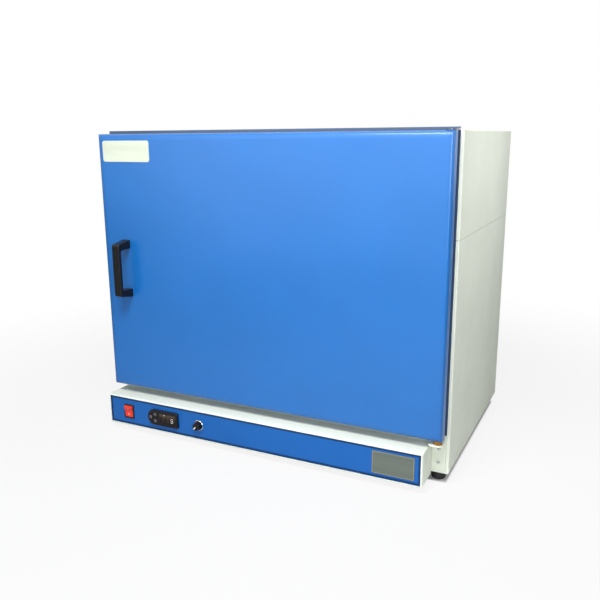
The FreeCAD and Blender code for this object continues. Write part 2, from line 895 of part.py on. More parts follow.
def heater_path(side):
    """Centre line of one serpentine element, from its inner tail to its outer one."""
    z = chamber_z0 + heater_rise
    bend = heater_pitch / 2
    front = liner_y + heater_front_gap + bend
    back = chamber_back_y - heater_back_gap - bend
    tail = liner_back_y + heater_tail
    edges = []
    for run in range(heater_runs):
        x = side * (heater_inner + run * heater_pitch)
        first = tail if run == 0 else back
        last = tail if run == heater_runs - 1 else back
        ends = (first, front) if run % 2 == 0 else (front, last)
        edges.append(line(spot(x, ends[0], z), spot(x, ends[1], z)))
        if run < heater_runs - 1:
            turn_y = ends[1]
            out = -bend if run % 2 == 0 else bend
            across = x + side * heater_pitch
            edges.append(arc(spot(x, turn_y, z), spot((x + across) / 2, turn_y + out, z),
                             spot(across, turn_y, z)))
    return edges


def heater_elements():
    """Two serpentine tubular elements with a gland on the back wall and a stud at each tail."""
    z = chamber_z0 + heater_rise
    tail = liner_back_y + heater_tail
    elements = []
    for side in both_sides:
        pieces = [swept(heater_path(side), heater_radius)]
        for x in (heater_inner, heater_inner + (heater_runs - 1) * heater_pitch):
            start = spot(side * x, chamber_back_y - gland_length, z)
            pieces.append(rod(start, along_y, gland_radius, gland_length))
            pieces.append(rod(spot(side * x, tail, z), along_y, heater_stud_radius, heater_stud_length))
        elements.append(joined(pieces))
    return group(elements)


def heater_saddles():
    """Two bars on the chamber's floor that the heating tubes lie on."""
    outer = heater_inner + heater_runs * heater_pitch
    top = chamber_z0 + heater_rise - heater_radius - seat_gap
    front = liner_y + heater_front_gap + heater_pitch
    back = chamber_back_y - heater_back_gap - heater_pitch - saddle_width
    return group([block(-outer, outer, y, y + saddle_width, chamber_z0, top) for y in (front, back)])


def sensor(x, radius, reach):
    """A round-nosed sheath through the back wall, with a gland against the wall."""
    z = chamber_z0 + probe_height
    length = reach + liner_sheet + probe_tail
    sheath = rod(spot(x, chamber_back_y - reach + radius, z), along_y, radius, length - radius)
    nose = Part.makeSphere(radius, spot(x, chamber_back_y - reach + radius, z))
    gland = rod(spot(x, chamber_back_y - gland_length, z), along_y, gland_radius, gland_length)
    return joined([sheath, nose, gland])


def sensor_sheaths():
    """The controller's probe and the limiter's bulb."""
    probe = sensor(probe_from_middle, probe_radius, probe_reach)
    return group([probe, sensor(-probe_from_middle, bulb_radius, bulb_reach)])


def vent_tube():
    """Vent from the chamber to the back: a tube, a flange on the rear panel and a spigot for a hose."""
    inner_y = chamber_back_y - vent_inner_reach
    flange_y = cover_y + vent_flange_sheet
    body = joined([
        rod(spot(0, inner_y, vent_z()), along_y, vent_tube_radius, cover_y - inner_y),
        rod(spot(0, cover_y, vent_z()), along_y, vent_flange_radius, vent_flange_sheet),
        rod(spot(0, flange_y, vent_z()), along_y, vent_radius, vent_length),
    ])
    start = inner_y - overrun
    cutters = [rod(spot(0, start, vent_z()), along_y, vent_bore_radius, overall_depth)]
    deep = vent_flange_sheet + 2 * overrun
    cutters += [rod(spot(x, cover_y - overrun, z), along_y, screw_hole_radius, deep)
                for x, z in vent_screw_places()]
    return without(body, cutters)


# Door


def door_pan():
    """Blue outer pan: a face with rounded edges, turned sides and an inward lip."""
    outer = folded(pan_edge_radius, door_left, door_right, door_y, lip_y, door_z0, door_z1)
    inner = folded(pan_edge_radius - sheet, door_left + sheet, door_right - sheet, door_y + sheet,
                   lip_y - sheet, door_z0 + sheet, door_z1 - sheet)
    opening = block(door_left + pan_lip, door_right - pan_lip, lip_y - sheet - overrun, lip_y + overrun,
                    door_z0 + pan_lip, door_z1 - pan_lip)
    reach = pin_reach + overrun
    holes = [
        rod(spot(pivot_x, pivot_y, door_z0 - overrun), along_z, pin_radius + seat_gap, reach),
        rod(spot(pivot_x, pivot_y, door_z1 - pin_reach), along_z, pin_radius + seat_gap, reach),
    ]
    start = door_y - overrun
    holes += [rod(spot(handle_x(), start, z), along_y, handle_screw_radius + seat_gap, sheet + 2 * overrun)
              for z in handle_screw_places()]
    return without(outer.cut(inner).cut(opening), holes)


def inner_span(inset, depth_inset):
    """Limits of the inner panel's tray, drawn in by a wall."""
    reach = inner_inset + inset
    return (door_left + reach, door_right - reach, lip_y - depth_inset, inner_back_y - inset,
            door_z0 + reach, door_z1 - reach)


def plug_span(inset):
    """Limits of the pressed centre that enters the mouth, drawn in by a wall."""
    x = mouth_x - plug_margin - inset
    return (-x, x, inner_back_y - inner_edge_radius - overrun, inner_back_y + plug_height - inset,
            chamber_z0 + plug_margin + inset, chamber_z1 - plug_margin - inset)


def inner_form(inset, depth_inset):
    """The inner panel as a filled form, drawn in by a wall."""
    tray_limits = inner_span(inset, depth_inset)
    plug_limits = plug_span(inset)
    tray = pressed(inner_corner_radius - inset, inner_edge_radius - inset, *tray_limits, tray_limits[3])
    plug = pressed(plug_corner_radius - inset, inner_edge_radius - inset, *plug_limits, plug_limits[3])
    return joined([tray, plug])


def door_inner_panel():
    """Steel inner panel: a tray with a pressed centre, and a lip that lies on the pan's lip."""
    tray = inner_form(0, 0).cut(inner_form(sheet, overrun))
    reach = inner_inset - pan_lip + seat_gap
    x0, x1 = door_left + inner_inset, door_right - inner_inset
    z0, z1 = door_z0 + inner_inset, door_z1 - inner_inset
    lip = rounded(along_y, inner_corner_radius, x0 - pan_lip, x1 + pan_lip, lip_y, lip_y + sheet,
                  z0 - pan_lip, z1 + pan_lip)
    window = block(x0 + sheet, x1 - sheet, lip_y - reach, lip_y + overrun, z0 + sheet, z1 - sheet)
    return joined([tray, lip.cut(window)])


def door_wool():
    """Wool in the door, relieved round the hinge blocks and the handle screws."""
    gap = seat_gap + sheet
    face = rounded(along_y, pan_edge_radius, door_left + gap, door_right - gap, door_y + pan_edge_radius,
                   lip_y - gap, door_z0 + gap, door_z1 - gap)
    limits = inner_span(gap, 0)
    tray = pressed(inner_corner_radius - gap, inner_edge_radius - gap, limits[0], limits[1],
                   lip_y - gap - seat_gap, *limits[3:], limits[3])
    body = joined([face, tray])
    return without(body, [block_room(z0, seat_gap) for z0 in hinge_block_floors()] + screw_rooms())


def hinge_block_floors():
    """Lower ends of the two hinge blocks."""
    return (door_z0 + sheet, door_z1 - sheet - hinge_block_height)


def block_room(z0, gap):
    """A hinge block's outline, wider by gap."""
    return block(pivot_x - hinge_block_half - gap, pivot_x + hinge_block_half + gap,
                 pivot_y - hinge_block_fore - gap, pivot_y + hinge_block_aft + gap,
                 z0 - gap, z0 + hinge_block_height + gap)


def screw_rooms():
    """Room round the heads of the handle screws inside the door."""
    start = door_y + sheet - overrun
    deep = overrun + screw_head_height + 2 * seat_gap + pan_depth / 2
    return [rod(spot(handle_x(), start, z), along_y, screw_head_radius + seat_gap, deep)
            for z in handle_screw_places()]


def hinge_blocks():
    """Steel blocks in the door's hinge corners, each with a blind bore for its pin."""
    low, high = hinge_block_floors()
    bore = pin_radius + run_gap
    blocks = [block_room(z0, 0) for z0 in (low, high)]
    blocks = [body.makeFillet(pan_edge_radius, edges_along(body, along_y)) for body in blocks]
    lower = blocks[0].cut(rod(spot(pivot_x, pivot_y, low - overrun), along_z, bore,
                              pin_reach + overrun - sheet + seat_gap))
    start = door_z1 - pin_reach - seat_gap
    upper = blocks[1].cut(rod(spot(pivot_x, pivot_y, start), along_z, bore, pin_reach + overrun))
    return group([lower, upper])


def handle_x():
    """Middle of the handle."""
    return door_left + handle_from_edge


def handle_z():
    """Height of the handle's middle."""
    return (door_z0 + door_z1) / 2 - handle_below_middle


def handle_screw_places():
    """Heights of the two handle screws."""
    return [handle_z() + side * handle_screw_spacing / 2 for side in both_sides]


def side_outline(points, radius_at):
    """A closed outline in the plane of Y and Z, extruded across the handle's width, with rounded corners."""
    x = handle_x() - handle_width / 2
    corners = [spot(x, y, z) for y, z in points]
    face = Part.Face(Part.makePolygon(corners + corners[:1]))
    body = face.extrude(along_x * handle_width)
    y, radius = radius_at
    chosen = [edge for edge in edges_along(body, along_x) if abs(edge.Vertexes[0].Y - y) < run_gap]
    return body.makeFillet(radius, chosen)


def door_handle():
    """Bridge handle: two flared arms and a flat grip, with all its long edges softened."""
    nose_y = door_y - handle_reach
    throat_y = nose_y + handle_grip
    z = handle_z()
    root, tip = handle_length / 2, handle_nose_length / 2
    outer = side_outline([(door_y, z - root), (nose_y, z - tip), (nose_y, z + tip), (door_y, z + root)],
                         (nose_y, handle_nose_radius))
    root, tip = root - handle_arm, tip - handle_nose_arm
    beyond = door_y + overrun
    inner = side_outline([(beyond, z - root), (throat_y, z - tip), (throat_y, z + tip), (beyond, z + root)],
                         (throat_y, handle_throat_radius))
    body = outer.cut(inner)
    x0, x1 = handle_x() - handle_width / 2, handle_x() + handle_width / 2
    rims = [edge for edge in body.Edges if abs(edge.BoundBox.XMin - edge.BoundBox.XMax) < run_gap
            and min(abs(edge.BoundBox.XMin - x0), abs(edge.BoundBox.XMin - x1)) < run_gap
            and edge.BoundBox.YMin < door_y - run_gap]
    body = body.makeFillet(handle_edge_radius, rims)
    deep = handle_screw_reach + overrun
    bores = [rod(spot(handle_x(), door_y - handle_screw_reach, place), along_y,
                 handle_screw_radius + run_gap, deep) for place in handle_screw_places()]
    return without(body, bores)


def handle_screws():
    """Screws that come from inside the door pan into the handle's arms."""
    outward = along_y * -1
    reach = handle_screw_reach + sheet - seat_gap
    return group([pan_head_screw(spot(handle_x(), door_y + sheet, z), outward, handle_screw_radius, reach)
                  for z in handle_screw_places()])


def door_plate():
    """Small bare plate at the top left of the door."""
    x0 = door_left + door_plate_from_edge
    z1 = door_z1 - door_plate_from_top
    return rounded(along_y, door_plate_radius, x0, x0 + door_plate_width, door_y - door_plate_sheet, door_y,
                   z1 - door_plate_height, z1)


def catch_floors():
    """Lower ends of the two magnetic catches."""
    middle = (door_z0 + door_z1) / 2
    return [middle + side * catch_spread - catch_height / 2 for side in both_sides]


def catch_magnets():
    """Magnet blocks on the front frame, beside the handle side of the inner panel."""
    x0 = door_left + catch_inset
    y0 = lip_y + sheet + strike_sheet + seat_gap
    return group([block(x0, x0 + catch_width, y0, front_y, z, z + catch_height) for z in catch_floors()])


def catch_strikes():
    """Steel strikes on the door's lip, opposite the magnets."""
    x1 = door_left + inner_inset - 2 * sheet
    y0 = lip_y + sheet
    return group([block(x1 - strike_width, x1, y0, y0 + strike_sheet, z, z + catch_height)
                  for z in catch_floors()])


# Pivot hinges


def lower_ear_z():
    """Underside of the lower bracket's ear."""
    return door_z0 - lower_ear_drop - bracket_sheet


def upper_ear_z():
    """Underside of the upper bracket's ear."""
    return door_z1 + upper_ear_clearance


def lower_bracket_screws():
    """Screw places on the lower bracket's leg."""
    top = lower_ear_z() - bracket_screw_drop + bracket_sheet
    return [(pivot_x - bracket_nose_radius / 2, top - step * bracket_screw_pitch) for step in range(2)]


def upper_bracket_screws():
    """Screw places on the upper bracket's leg."""
    top = upper_ear_z() - bracket_screw_drop
    return [(pivot_x, top - step * bracket_screw_pitch) for step in range(2)]


def bracket(x0, ear_z, leg_z0, leg_z1, places):
    """A folded bracket: a leg on the casing's front and an ear round the pin."""
    x1 = pivot_x + bracket_outer
    nose_y = pivot_y - ear_nose
    ear = block(x0, x1, nose_y, front_y, ear_z, ear_z + bracket_sheet)
    front = [edge for edge in edges_along(ear, along_z) if abs(edge.Vertexes[0].Y - nose_y) < run_gap]
    ear = ear.makeFillet(bracket_nose_radius, front)
    leg = block(x0, x1, front_y - bracket_sheet, front_y, leg_z0, leg_z1)
    bore = rod(spot(pivot_x, pivot_y, ear_z - overrun), along_z, pin_radius + run_gap,
               bracket_sheet + 2 * overrun)
    holes = [rod(spot(x, front_y - bracket_sheet - overrun, z), along_y, screw_hole_radius,
                 bracket_sheet + 2 * overrun) for x, z in places]
    return without(joined([ear, leg]), [bore] + holes)


def lower_bracket():
    """Lower pivot bracket, white, beside the control box."""
    ear_z = lower_ear_z()
    top = ear_z + bracket_sheet
    return bracket(pivot_x - lower_bracket_inner, ear_z, top - lower_leg_height, top, lower_bracket_screws())


def upper_bracket():
    """Upper pivot bracket: its ear lies over the door's top edge."""
    ear_z = upper_ear_z()
    top = ear_z + bracket_sheet
    return bracket(pivot_x - upper_bracket_inner, ear_z, top - upper_leg_height, top, upper_bracket_screws())


def bracket_screws():
    """Pan head screws of the two brackets."""
    seat_y = front_y - bracket_sheet
    places = lower_bracket_screws() + upper_bracket_screws()
    return group([pan_head_screw(spot(x, seat_y, z), along_y) for x, z in places])


def hinge_pins():
    """The two pivot pins, riveted in their ears and reaching into the door's blocks."""
    foot = lower_ear_z() - pin_head_height
    lower = joined([
        rod(spot(pivot_x, pivot_y, foot), along_z, pin_head_radius, pin_head_height),
        rod(spot(pivot_x, pivot_y, foot), along_z, pin_radius, door_z0 + pin_reach - foot),
    ])
    low = door_z1 - pin_reach
    upper = rod(spot(pivot_x, pivot_y, low), along_z, pin_radius, upper_ear_z() + bracket_sheet - low)
    return group([lower, upper])


def hinge_washer():
    """Brass washer that carries the door on the lower ear."""
    start = spot(pivot_x, pivot_y, lower_ear_z() + bracket_sheet)
    return tube(start, along_z, washer_radius, pin_radius + run_gap, lower_ear_drop - seat_gap)


# Control box


def control_box():
    """White folded housing of the controls, open behind, with a rim round the fascia and a screw flange."""
    outer = pressed(box_corner_radius, box_edge_radius, box_left, box_right, box_y, front_y,
                    box_z0, box_z1, box_y)
    inner = pressed(box_corner_radius - sheet, box_edge_radius - sheet, box_left + sheet, box_right - sheet,
                    fascia_y, front_y + overrun, box_z0 + sheet, box_z1 - sheet, fascia_y)
    opening = rounded(along_y, box_rim / 2, box_left + box_rim, box_right - box_rim, box_y - overrun,
                      fascia_y + overrun, box_z0 + box_rim, box_z1 - box_rim)
    flange = block(box_left + box_rim, box_right - box_rim, front_y - sheet, front_y,
                   box_z1 - sheet - box_flange, box_z1 - sheet)
    return joined([outer.cut(inner).cut(opening), flange])


def controller_left():
    """Left end of the controller's bezel."""
    return box_left + controller_from_left - controller_width / 2


def rocker_x():
    """Middle of the rocker switch."""
    return box_left + rocker_from_left


def knob_x():
    """Axis of the limiter's knob."""
    return box_left + knob_from_left


def body_behind(x, width, height, y0, y1, gap):
    """A box behind the fascia, centred on the line of controls."""
    half_w, half_h = width / 2 + gap, height / 2 + gap
    return block(x - half_w, x + half_w, y0, y1, controls_z - half_h, controls_z + half_h)


def controller_body(y0, y1, gap):
    """The part of the controller behind the fascia."""
    middle = controller_left() + controller_width / 2
    width = controller_width - 2 * controller_body_margin
    return body_behind(middle, width, controller_body_height, y0, y1, gap)


def fascia():
    """Blue fascia panel behind the housing's rim, with the cut-outs of the controls."""
    lap = box_rim - fascia_lap
    panel = block(box_left + lap, box_right - lap, fascia_y, fascia_y + fascia_sheet,
                  box_z0 + lap, box_z1 - lap)
    y0, y1 = fascia_y - overrun, fascia_y + fascia_sheet + overrun
    cutters = [
        body_behind(rocker_x(), rocker_housing_width, rocker_housing_height, y0, y1, seat_gap),
        controller_body(y0, y1, seat_gap),
        rod(spot(knob_x(), y0, controls_z), along_y, limiter_bush_radius + seat_gap, y1 - y0),
    ]
    return without(panel, cutters)


def rocker_pivot_y():
    """Depth of the rocker's pivot line."""
    return fascia_y - rocker_bezel_rise + rocker_radius * rocker_lean() - rocker_proud


def rocker_lean():
    """Share of the rocker's radius by which its tips lead the pivot."""
    return math.sin(math.atan2(rocker_proud + rocker_depth, rocker_radius))


def rocker_bezel():
    """Black switch housing: a bezel on the fascia, a body behind it and a well for the rocker."""
    x = rocker_x()
    front = fascia_y - rocker_bezel_rise
    bezel = pressed(rocker_bezel_rise, rocker_bezel_rise / 2, x - rocker_bezel_width / 2,
                    x + rocker_bezel_width / 2, front, fascia_y, controls_z - rocker_bezel_height / 2,
                    controls_z + rocker_bezel_height / 2, front)
    body = body_behind(x, rocker_housing_width, rocker_housing_height, fascia_y,
                       fascia_y + rocker_housing_depth, 0)
    half_w = rocker_width / 2 + rocker_wall_gap
    half_h = rocker_radius + rocker_wall_gap
    floor_y = rocker_pivot_y() + rocker_depth + rocker_radius / 2
    well = block(x - half_w, x + half_w, front - overrun, floor_y, controls_z - half_h, controls_z + half_h)
    reach = rocker_pivot_length + run_gap
    start = spot(x - rocker_width / 2 - reach, rocker_pivot_y(), controls_z)
    bores = rod(start, along_x, rocker_pivot_radius + run_gap, rocker_width + 2 * reach)
    return without(joined([bezel, body]), [well, bores])


def rocker():
    """Red rocker, drawn with its upper end out: a round-ended key with a shallow valley across its face."""
    x0 = rocker_x() - rocker_width / 2
    pivot = spot(x0, rocker_pivot_y(), controls_z)
    drum = rod(pivot, along_x, rocker_radius, rocker_width)
    tip_z = math.sqrt(rocker_radius ** 2 - (rocker_radius * rocker_lean()) ** 2)
    tip_y = pivot.y - rocker_radius * rocker_lean()
    valley_y = tip_y + rocker_proud
    far = tip_y - rocker_radius
    points = [(far, -tip_z), (tip_y, -tip_z), (valley_y, 0), (tip_y, tip_z), (far, tip_z)]
    wedge = [spot(x0 - overrun, y, controls_z + z) for y, z in points]
    valley = Part.Face(Part.makePolygon(wedge + wedge[:1])).extrude(along_x * (rocker_width + 2 * overrun))
    over = 2 * rocker_radius
    back = block(x0 - overrun, x0 + rocker_width + overrun, pivot.y + rocker_depth, pivot.y + over,
                 controls_z - over, controls_z + over)
    above = block(x0 - overrun, x0 + rocker_width + overrun, far - over, tip_y + run_gap,
                  controls_z - over, controls_z + over)
    key = drum.cut(valley).cut(back).cut(above)
    start = pivot - along_x * rocker_pivot_length
    trunnion = rod(start, along_x, rocker_pivot_radius, rocker_width + 2 * rocker_pivot_length)
    body = joined([key, trunnion])
    body.rotate(pivot, along_x, rocker_tilt)
    return body


def key_places():
    """Axes of the three round keys in the controller's rounded end, by name."""
    first = controller_left() + key_first_from_left
    pair = controller_left() + key_pair_from_left
    return {
        "key_set": (first, controls_z),
        "key_up": (pair, controls_z + key_pair_spread),
        "key_down": (pair, controls_z - key_pair_spread),
    }


def controller_bezel_form(y0, y1):
    """The bezel's outline: a half-round left end and a square right end with small corners."""
    x0 = controller_left()
    x1 = x0 + controller_width
    half = controller_height / 2
    z0, z1 = controls_z - half, controls_z + half
    bar = block(x0 + half, x1, y0, y1, z0, z1)
    right = [edge for edge in edges_along(bar, along_y) if abs(edge.Vertexes[0].X - x1) < run_gap]
    bar = bar.makeFillet(controller_corner_radius, right)
    return joined([bar, rod(spot(x0 + half, y0, controls_z), along_y, half, y1 - y0)])


def controller_housing():
    """Black controller: a bezel with a recess for its window, wells for the keys and a body behind."""
    front = fascia_y - controller_rise
    bezel = controller_bezel_form(front, fascia_y)
    bezel = bezel.makeFillet(controller_edge_radius, edges_in_plane(bezel, front))
    body = controller_body(fascia_y, fascia_y + controller_body_depth, 0)
    cutters = [window_form(front - overrun, front + window_sheet, 0)]
    for x, z in key_places().values():
        cutters.append(rod(spot(x, front - overrun, z), along_y, key_radius + key_gap,
                           overrun + key_face_sheet + key_gap))
        well = key_collar_height + key_travel + 2 * key_gap
        cutters.append(rod(spot(x, front + key_face_sheet, z), along_y, key_collar_radius + key_gap, well))
    return without(joined([bezel, body]), cutters)


def window_form(y0, y1, gap):
    """The controller's window, drawn in by a gap."""
    x0 = controller_left() + window_from_left + gap
    x1 = controller_left() + controller_width - window_from_right - gap
    half = window_height / 2 - gap
    return rounded(along_y, window_radius, x0, x1, y0, y1, controls_z - half, controls_z + half)


def controller_window():
    """Smoked window over the display."""
    front = fascia_y - controller_rise
    return window_form(front, front + window_sheet, run_gap)


def key(name):
    """A round key with a collar that holds it behind the bezel's face."""
    x, z = key_places()[name]
    front = fascia_y - controller_rise
    cap = rod(spot(x, front - key_rise, z), along_y, key_radius, key_rise + key_face_sheet + key_gap)
    crown = [edge for edge in edges_in_plane(cap, front - key_rise) if edge.Closed]
    cap = cap.makeChamfer(key_rise / 2, crown)
    collar = rod(spot(x, front + key_face_sheet + key_gap, z), along_y, key_collar_radius, key_collar_height)
    return joined([cap, collar])


def limiter_ring():
    """Bright ring round the knob's foot."""
    start = spot(knob_x(), fascia_y - ring_rise, controls_z)
    ring = tube(start, along_y, ring_radius, knob_radius + ring_gap, ring_rise)
    return ring.makeChamfer((ring_radius - knob_radius - ring_gap) / 3, edges_in_plane(ring, start.y))


def limiter_knob():
    """Fluted knob with a pointer groove, turned to its lowest setting."""
    x = knob_x()
    foot_y = fascia_y - knob_float
    top_y = foot_y - knob_height
    profile = [spot(x, foot_y, controls_z), spot(x + knob_radius, foot_y, controls_z),
               spot(x + knob_top_radius, top_y, controls_z), spot(x, top_y, controls_z)]
    face = Part.Face(Part.makePolygon(profile + profile[:1]))
    body = face.revolve(spot(x, 0, controls_z), along_y, 360)
    body = body.makeFillet(knob_edge_radius, [edge for edge in edges_in_plane(body, top_y) if edge.Closed])
    reach = knob_radius + knob_flute_radius - knob_flute_depth
    cutters = []
    for step in range(knob_flutes):
        turn = math.tau * (step + 1 / 2) / knob_flutes
        start = spot(x + reach * math.sin(turn), top_y - overrun, controls_z + reach * math.cos(turn))
        cutters.append(rod(start, along_y, knob_flute_radius, knob_height))
    pointer = block(x - knob_pointer_width / 2, x + knob_pointer_width / 2, top_y - overrun,
                    top_y + knob_pointer_depth, controls_z, controls_z + knob_radius + overrun)
    shaft_hole = rod(spot(x, foot_y - knob_height / 2, controls_z), along_y, shaft_radius,
                     knob_height / 2 + overrun)
    body = without(body, cutters + [pointer, shaft_hole])
    body.rotate(spot(x, 0, controls_z), along_y, knob_rest_turn)
    return body


def limiter_shaft():
    """Shaft of the limiter, fixed in the knob."""
    start = spot(knob_x(), fascia_y - knob_float - knob_height / 2, controls_z)
    return rod(start, along_y, shaft_radius, shaft_length)


def limiter_thermostat():
    """Limiter behind the fascia, with a bush through it and a bore for the shaft."""
    y0 = fascia_y + fascia_sheet
    body = body_behind(knob_x(), limiter_width, limiter_height, y0, y0 + limiter_depth, 0)
    body = body.makeFillet(box_corner_radius, edges_along(body, along_y))
    bush = rod(spot(knob_x(), fascia_y, controls_z), along_y, limiter_bush_radius, fascia_sheet)
    start = spot(knob_x(), fascia_y - overrun, controls_z)
    bore = rod(start, along_y, shaft_radius + run_gap, shaft_length + overrun)
    return joined([body, bush]).cut(bore)


def nameplate():
    """Bare silver plate at the right end of the fascia."""
    x1 = box_right - box_rim - nameplate_from_right
    half = nameplate_height / 2
    return rounded(along_y, nameplate_radius, x1 - nameplate_width, x1, fascia_y - nameplate_sheet, fascia_y,
                   controls_z - half, controls_z + half)


# Wiring space


def relay():
    """Solid state relay on the casing's floor, stepped down at both ends for its terminals."""
    y0 = (front_y + back_y - relay_length) / 2
    z1 = inner_base_z + relay_height
    body = block(relay_x - relay_width / 2, relay_x + relay_width / 2, y0, y0 + relay_length,
                 inner_base_z, z1)
    steps = [
        block(relay_x - relay_width, relay_x + relay_width, y, y + relay_step + overrun, z1 - relay_step,
              z1 + overrun)
        for y in (y0 - overrun, y0 + relay_length - relay_step)
    ]
    return without(body, steps)


def terminal_block():
    """Terminal block on the casing's floor: a stepped bar with a wire hole to each way."""
    length = terminal_ways * terminal_pitch
    x0 = terminal_x - length / 2
    y0 = (front_y + back_y - terminal_depth) / 2
    z1 = inner_base_z + terminal_height
    body = block(x0, x0 + length, y0, y0 + terminal_depth, inner_base_z, z1)
    bores = []
    for way in range(terminal_ways):
        x = x0 + (way + 1 / 2) * terminal_pitch
        bores.append(rod(spot(x, y0 - overrun, inner_base_z + terminal_height / 2), along_y,
                         terminal_bore_radius, terminal_depth + 2 * overrun))
        bores.append(rod(spot(x, y0 + terminal_depth / 2, inner_base_z + terminal_height / 2), along_z,
                         terminal_bore_radius, terminal_height))
    return without(body, bores)


def power_inlet():
    """Appliance inlet on the rear panel: a flange, a body and a recess for the lead's connector."""
    flange_y = cover_y + inlet_flange_sheet
    half_w, half_h = inlet_flange_width / 2, inlet_flange_height / 2
    flange = rounded(along_y, half_h / 2, inlet_x - half_w, inlet_x + half_w, cover_y, flange_y,
                     inlet_z() - half_h, inlet_z() + half_h)
    half_w, half_h = inlet_body_width / 2, inlet_body_height / 2
    body = block(inlet_x - half_w, inlet_x + half_w, cover_y - inlet_body_depth, cover_y,
                 inlet_z() - half_h, inlet_z() + half_h)
    half_w, half_h = inlet_recess_width / 2, inlet_recess_height / 2
    recess = rounded(along_y, inlet_recess_radius, inlet_x - half_w, inlet_x + half_w,
                     flange_y - inlet_recess_depth, flange_y + overrun, inlet_z() - half_h,
                     inlet_z() + half_h)
    holes = [rod(spot(x, cover_y - overrun, z), along_y, screw_hole_radius,
                 inlet_flange_sheet + 2 * overrun) for x, z in inlet_screw_places()]
    return without(joined([flange, body]), [recess] + holes)


def inlet_pins():
    """Three flat pins on the recess's floor, the middle one higher."""
    floor_y = cover_y + inlet_flange_sheet - inlet_recess_depth
    pins = []
    for step in (-1, 0, 1):
        x = inlet_x + step * inlet_pin_spread
        z = inlet_z() + (inlet_pin_lift if step == 0 else -inlet_pin_lift)
        pins.append(block(x - inlet_pin_width / 2, x + inlet_pin_width / 2, floor_y,
                          floor_y + inlet_pin_length, z - inlet_pin_height / 2, z + inlet_pin_height / 2))
    return group(pins)


# Feet


def foot(x, y):
    """Tapered rubber foot, recessed from below for its screw."""
    body = Part.makeCone(foot_tip_radius, foot_radius, foot_height, spot(x, y, 0), along_z)
    rim = [edge for edge in body.Edges if edge.Closed and edge.BoundBox.ZMax < foot_height / 2]
    body = body.makeChamfer(foot_edge_radius, rim)
    recess = rod(spot(x, y, -overrun), along_z, foot_recess_radius, foot_recess_depth + overrun)
    hole = rod(spot(x, y, 0), along_z, screw_hole_radius, foot_height + overrun)
    return without(body, [recess, hole])


def foot_screws():
    """Screws from the feet's recesses into the casing's floor."""
    reach = foot_height - foot_recess_depth + 2 * sheet
    return group([pan_head_screw(spot(x, y, foot_recess_depth), along_z, screw_radius, reach)
                  for x, y in foot_places().values()])


def build():
    """Every sub-part by the name of its node."""
    shell = casing_shell()
    nodes = {
        "lower_shell": lower_shell(shell),
        "upper_cover": upper_cover(shell),
        "seam_strips": seam_strips(),
        "rear_panel": rear_panel(),
        "vent_plate": vent_plate(),
        "inlet_plate": inlet_plate(),
        "rear_screws": rear_screws(),
        "front_frame": front_frame(),
        "lower_panel": lower_panel(),
        "inner_chamber": inner_chamber(),
        "support_tray": support_tray(),
        "wool_sides": wool_sides(),
        "wool_slabs": wool_slabs(),
        "wool_back": wool_back(),
        "door_seal": door_seal(),
        "shelf_racks": shelf_racks(),
        "wire_shelf_lower": wire_shelf(middle_level - 1),
        "wire_shelf_upper": wire_shelf(middle_level + 1),
        "floor_plate": floor_plate(),
        "heater_elements": heater_elements(),
        "heater_saddles": heater_saddles(),
        "sensor_sheaths": sensor_sheaths(),
        "vent_tube": vent_tube(),
        "door_pan": door_pan(),
        "door_inner_panel": door_inner_panel(),
        "door_wool": door_wool(),
        "hinge_blocks": hinge_blocks(),
        "door_handle": door_handle(),
        "handle_screws": handle_screws(),
        "door_plate": door_plate(),
        "catch_magnets": catch_magnets(),
        "catch_strikes": catch_strikes(),
        "hinge_bracket_lower": lower_bracket(),
        "hinge_bracket_upper": upper_bracket(),
        "bracket_screws": bracket_screws(),
        "hinge_pins": hinge_pins(),
        "hinge_washer": hinge_washer(),
        "control_box": control_box(),
        "fascia": fascia(),
        "rocker_bezel": rocker_bezel(),
        "rocker": rocker(),
        "controller_housing": controller_housing(),
        "controller_window": controller_window(),
        "limiter_ring": limiter_ring(),
        "limiter_knob": limiter_knob(),
        "limiter_shaft": limiter_shaft(),
        "limiter_thermostat": limiter_thermostat(),
        "nameplate": nameplate(),
        "solid_state_relay": relay(),
        "terminal_block": terminal_block(),
        "power_inlet": power_inlet(),
        "inlet_pins": inlet_pins(),
        "foot_screws": foot_screws(),
    }
    for name in key_places():
        nodes[name] = key(name)
    for name, (x, y) in foot_places().items():
        nodes[f"foot_{name}"] = foot(x, y)
    return nodes


os.makedirs("parts", exist_ok=True)
for node, shape in build().items():
    shape.exportStep(os.path.join("parts", node + ".step"))
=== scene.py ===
import math

import bmesh
import bpy
import numpy as np
from bpy.props import FloatProperty, FloatVectorProperty, PointerProperty
from mathutils import Matrix, Vector


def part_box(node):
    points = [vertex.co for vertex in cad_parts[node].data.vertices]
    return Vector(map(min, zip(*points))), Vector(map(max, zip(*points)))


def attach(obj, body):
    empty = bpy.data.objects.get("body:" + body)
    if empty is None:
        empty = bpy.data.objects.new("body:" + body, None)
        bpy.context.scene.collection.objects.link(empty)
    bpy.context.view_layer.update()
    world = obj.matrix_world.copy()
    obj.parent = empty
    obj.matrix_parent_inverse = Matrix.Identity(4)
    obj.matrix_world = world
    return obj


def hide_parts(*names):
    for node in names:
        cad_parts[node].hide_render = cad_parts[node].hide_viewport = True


bl_info = {
    "name": "Dry Heat Sterilizer Finishes",
    "version": (1, 0, 0),
    "blender": (4, 5, 0),
    "location": "View3D > Sidebar > Sterilizer",
    "description": "Finishes and fine pieces of a bench dry heat sterilizer, round its packed frame",
    "category": "Object",
}

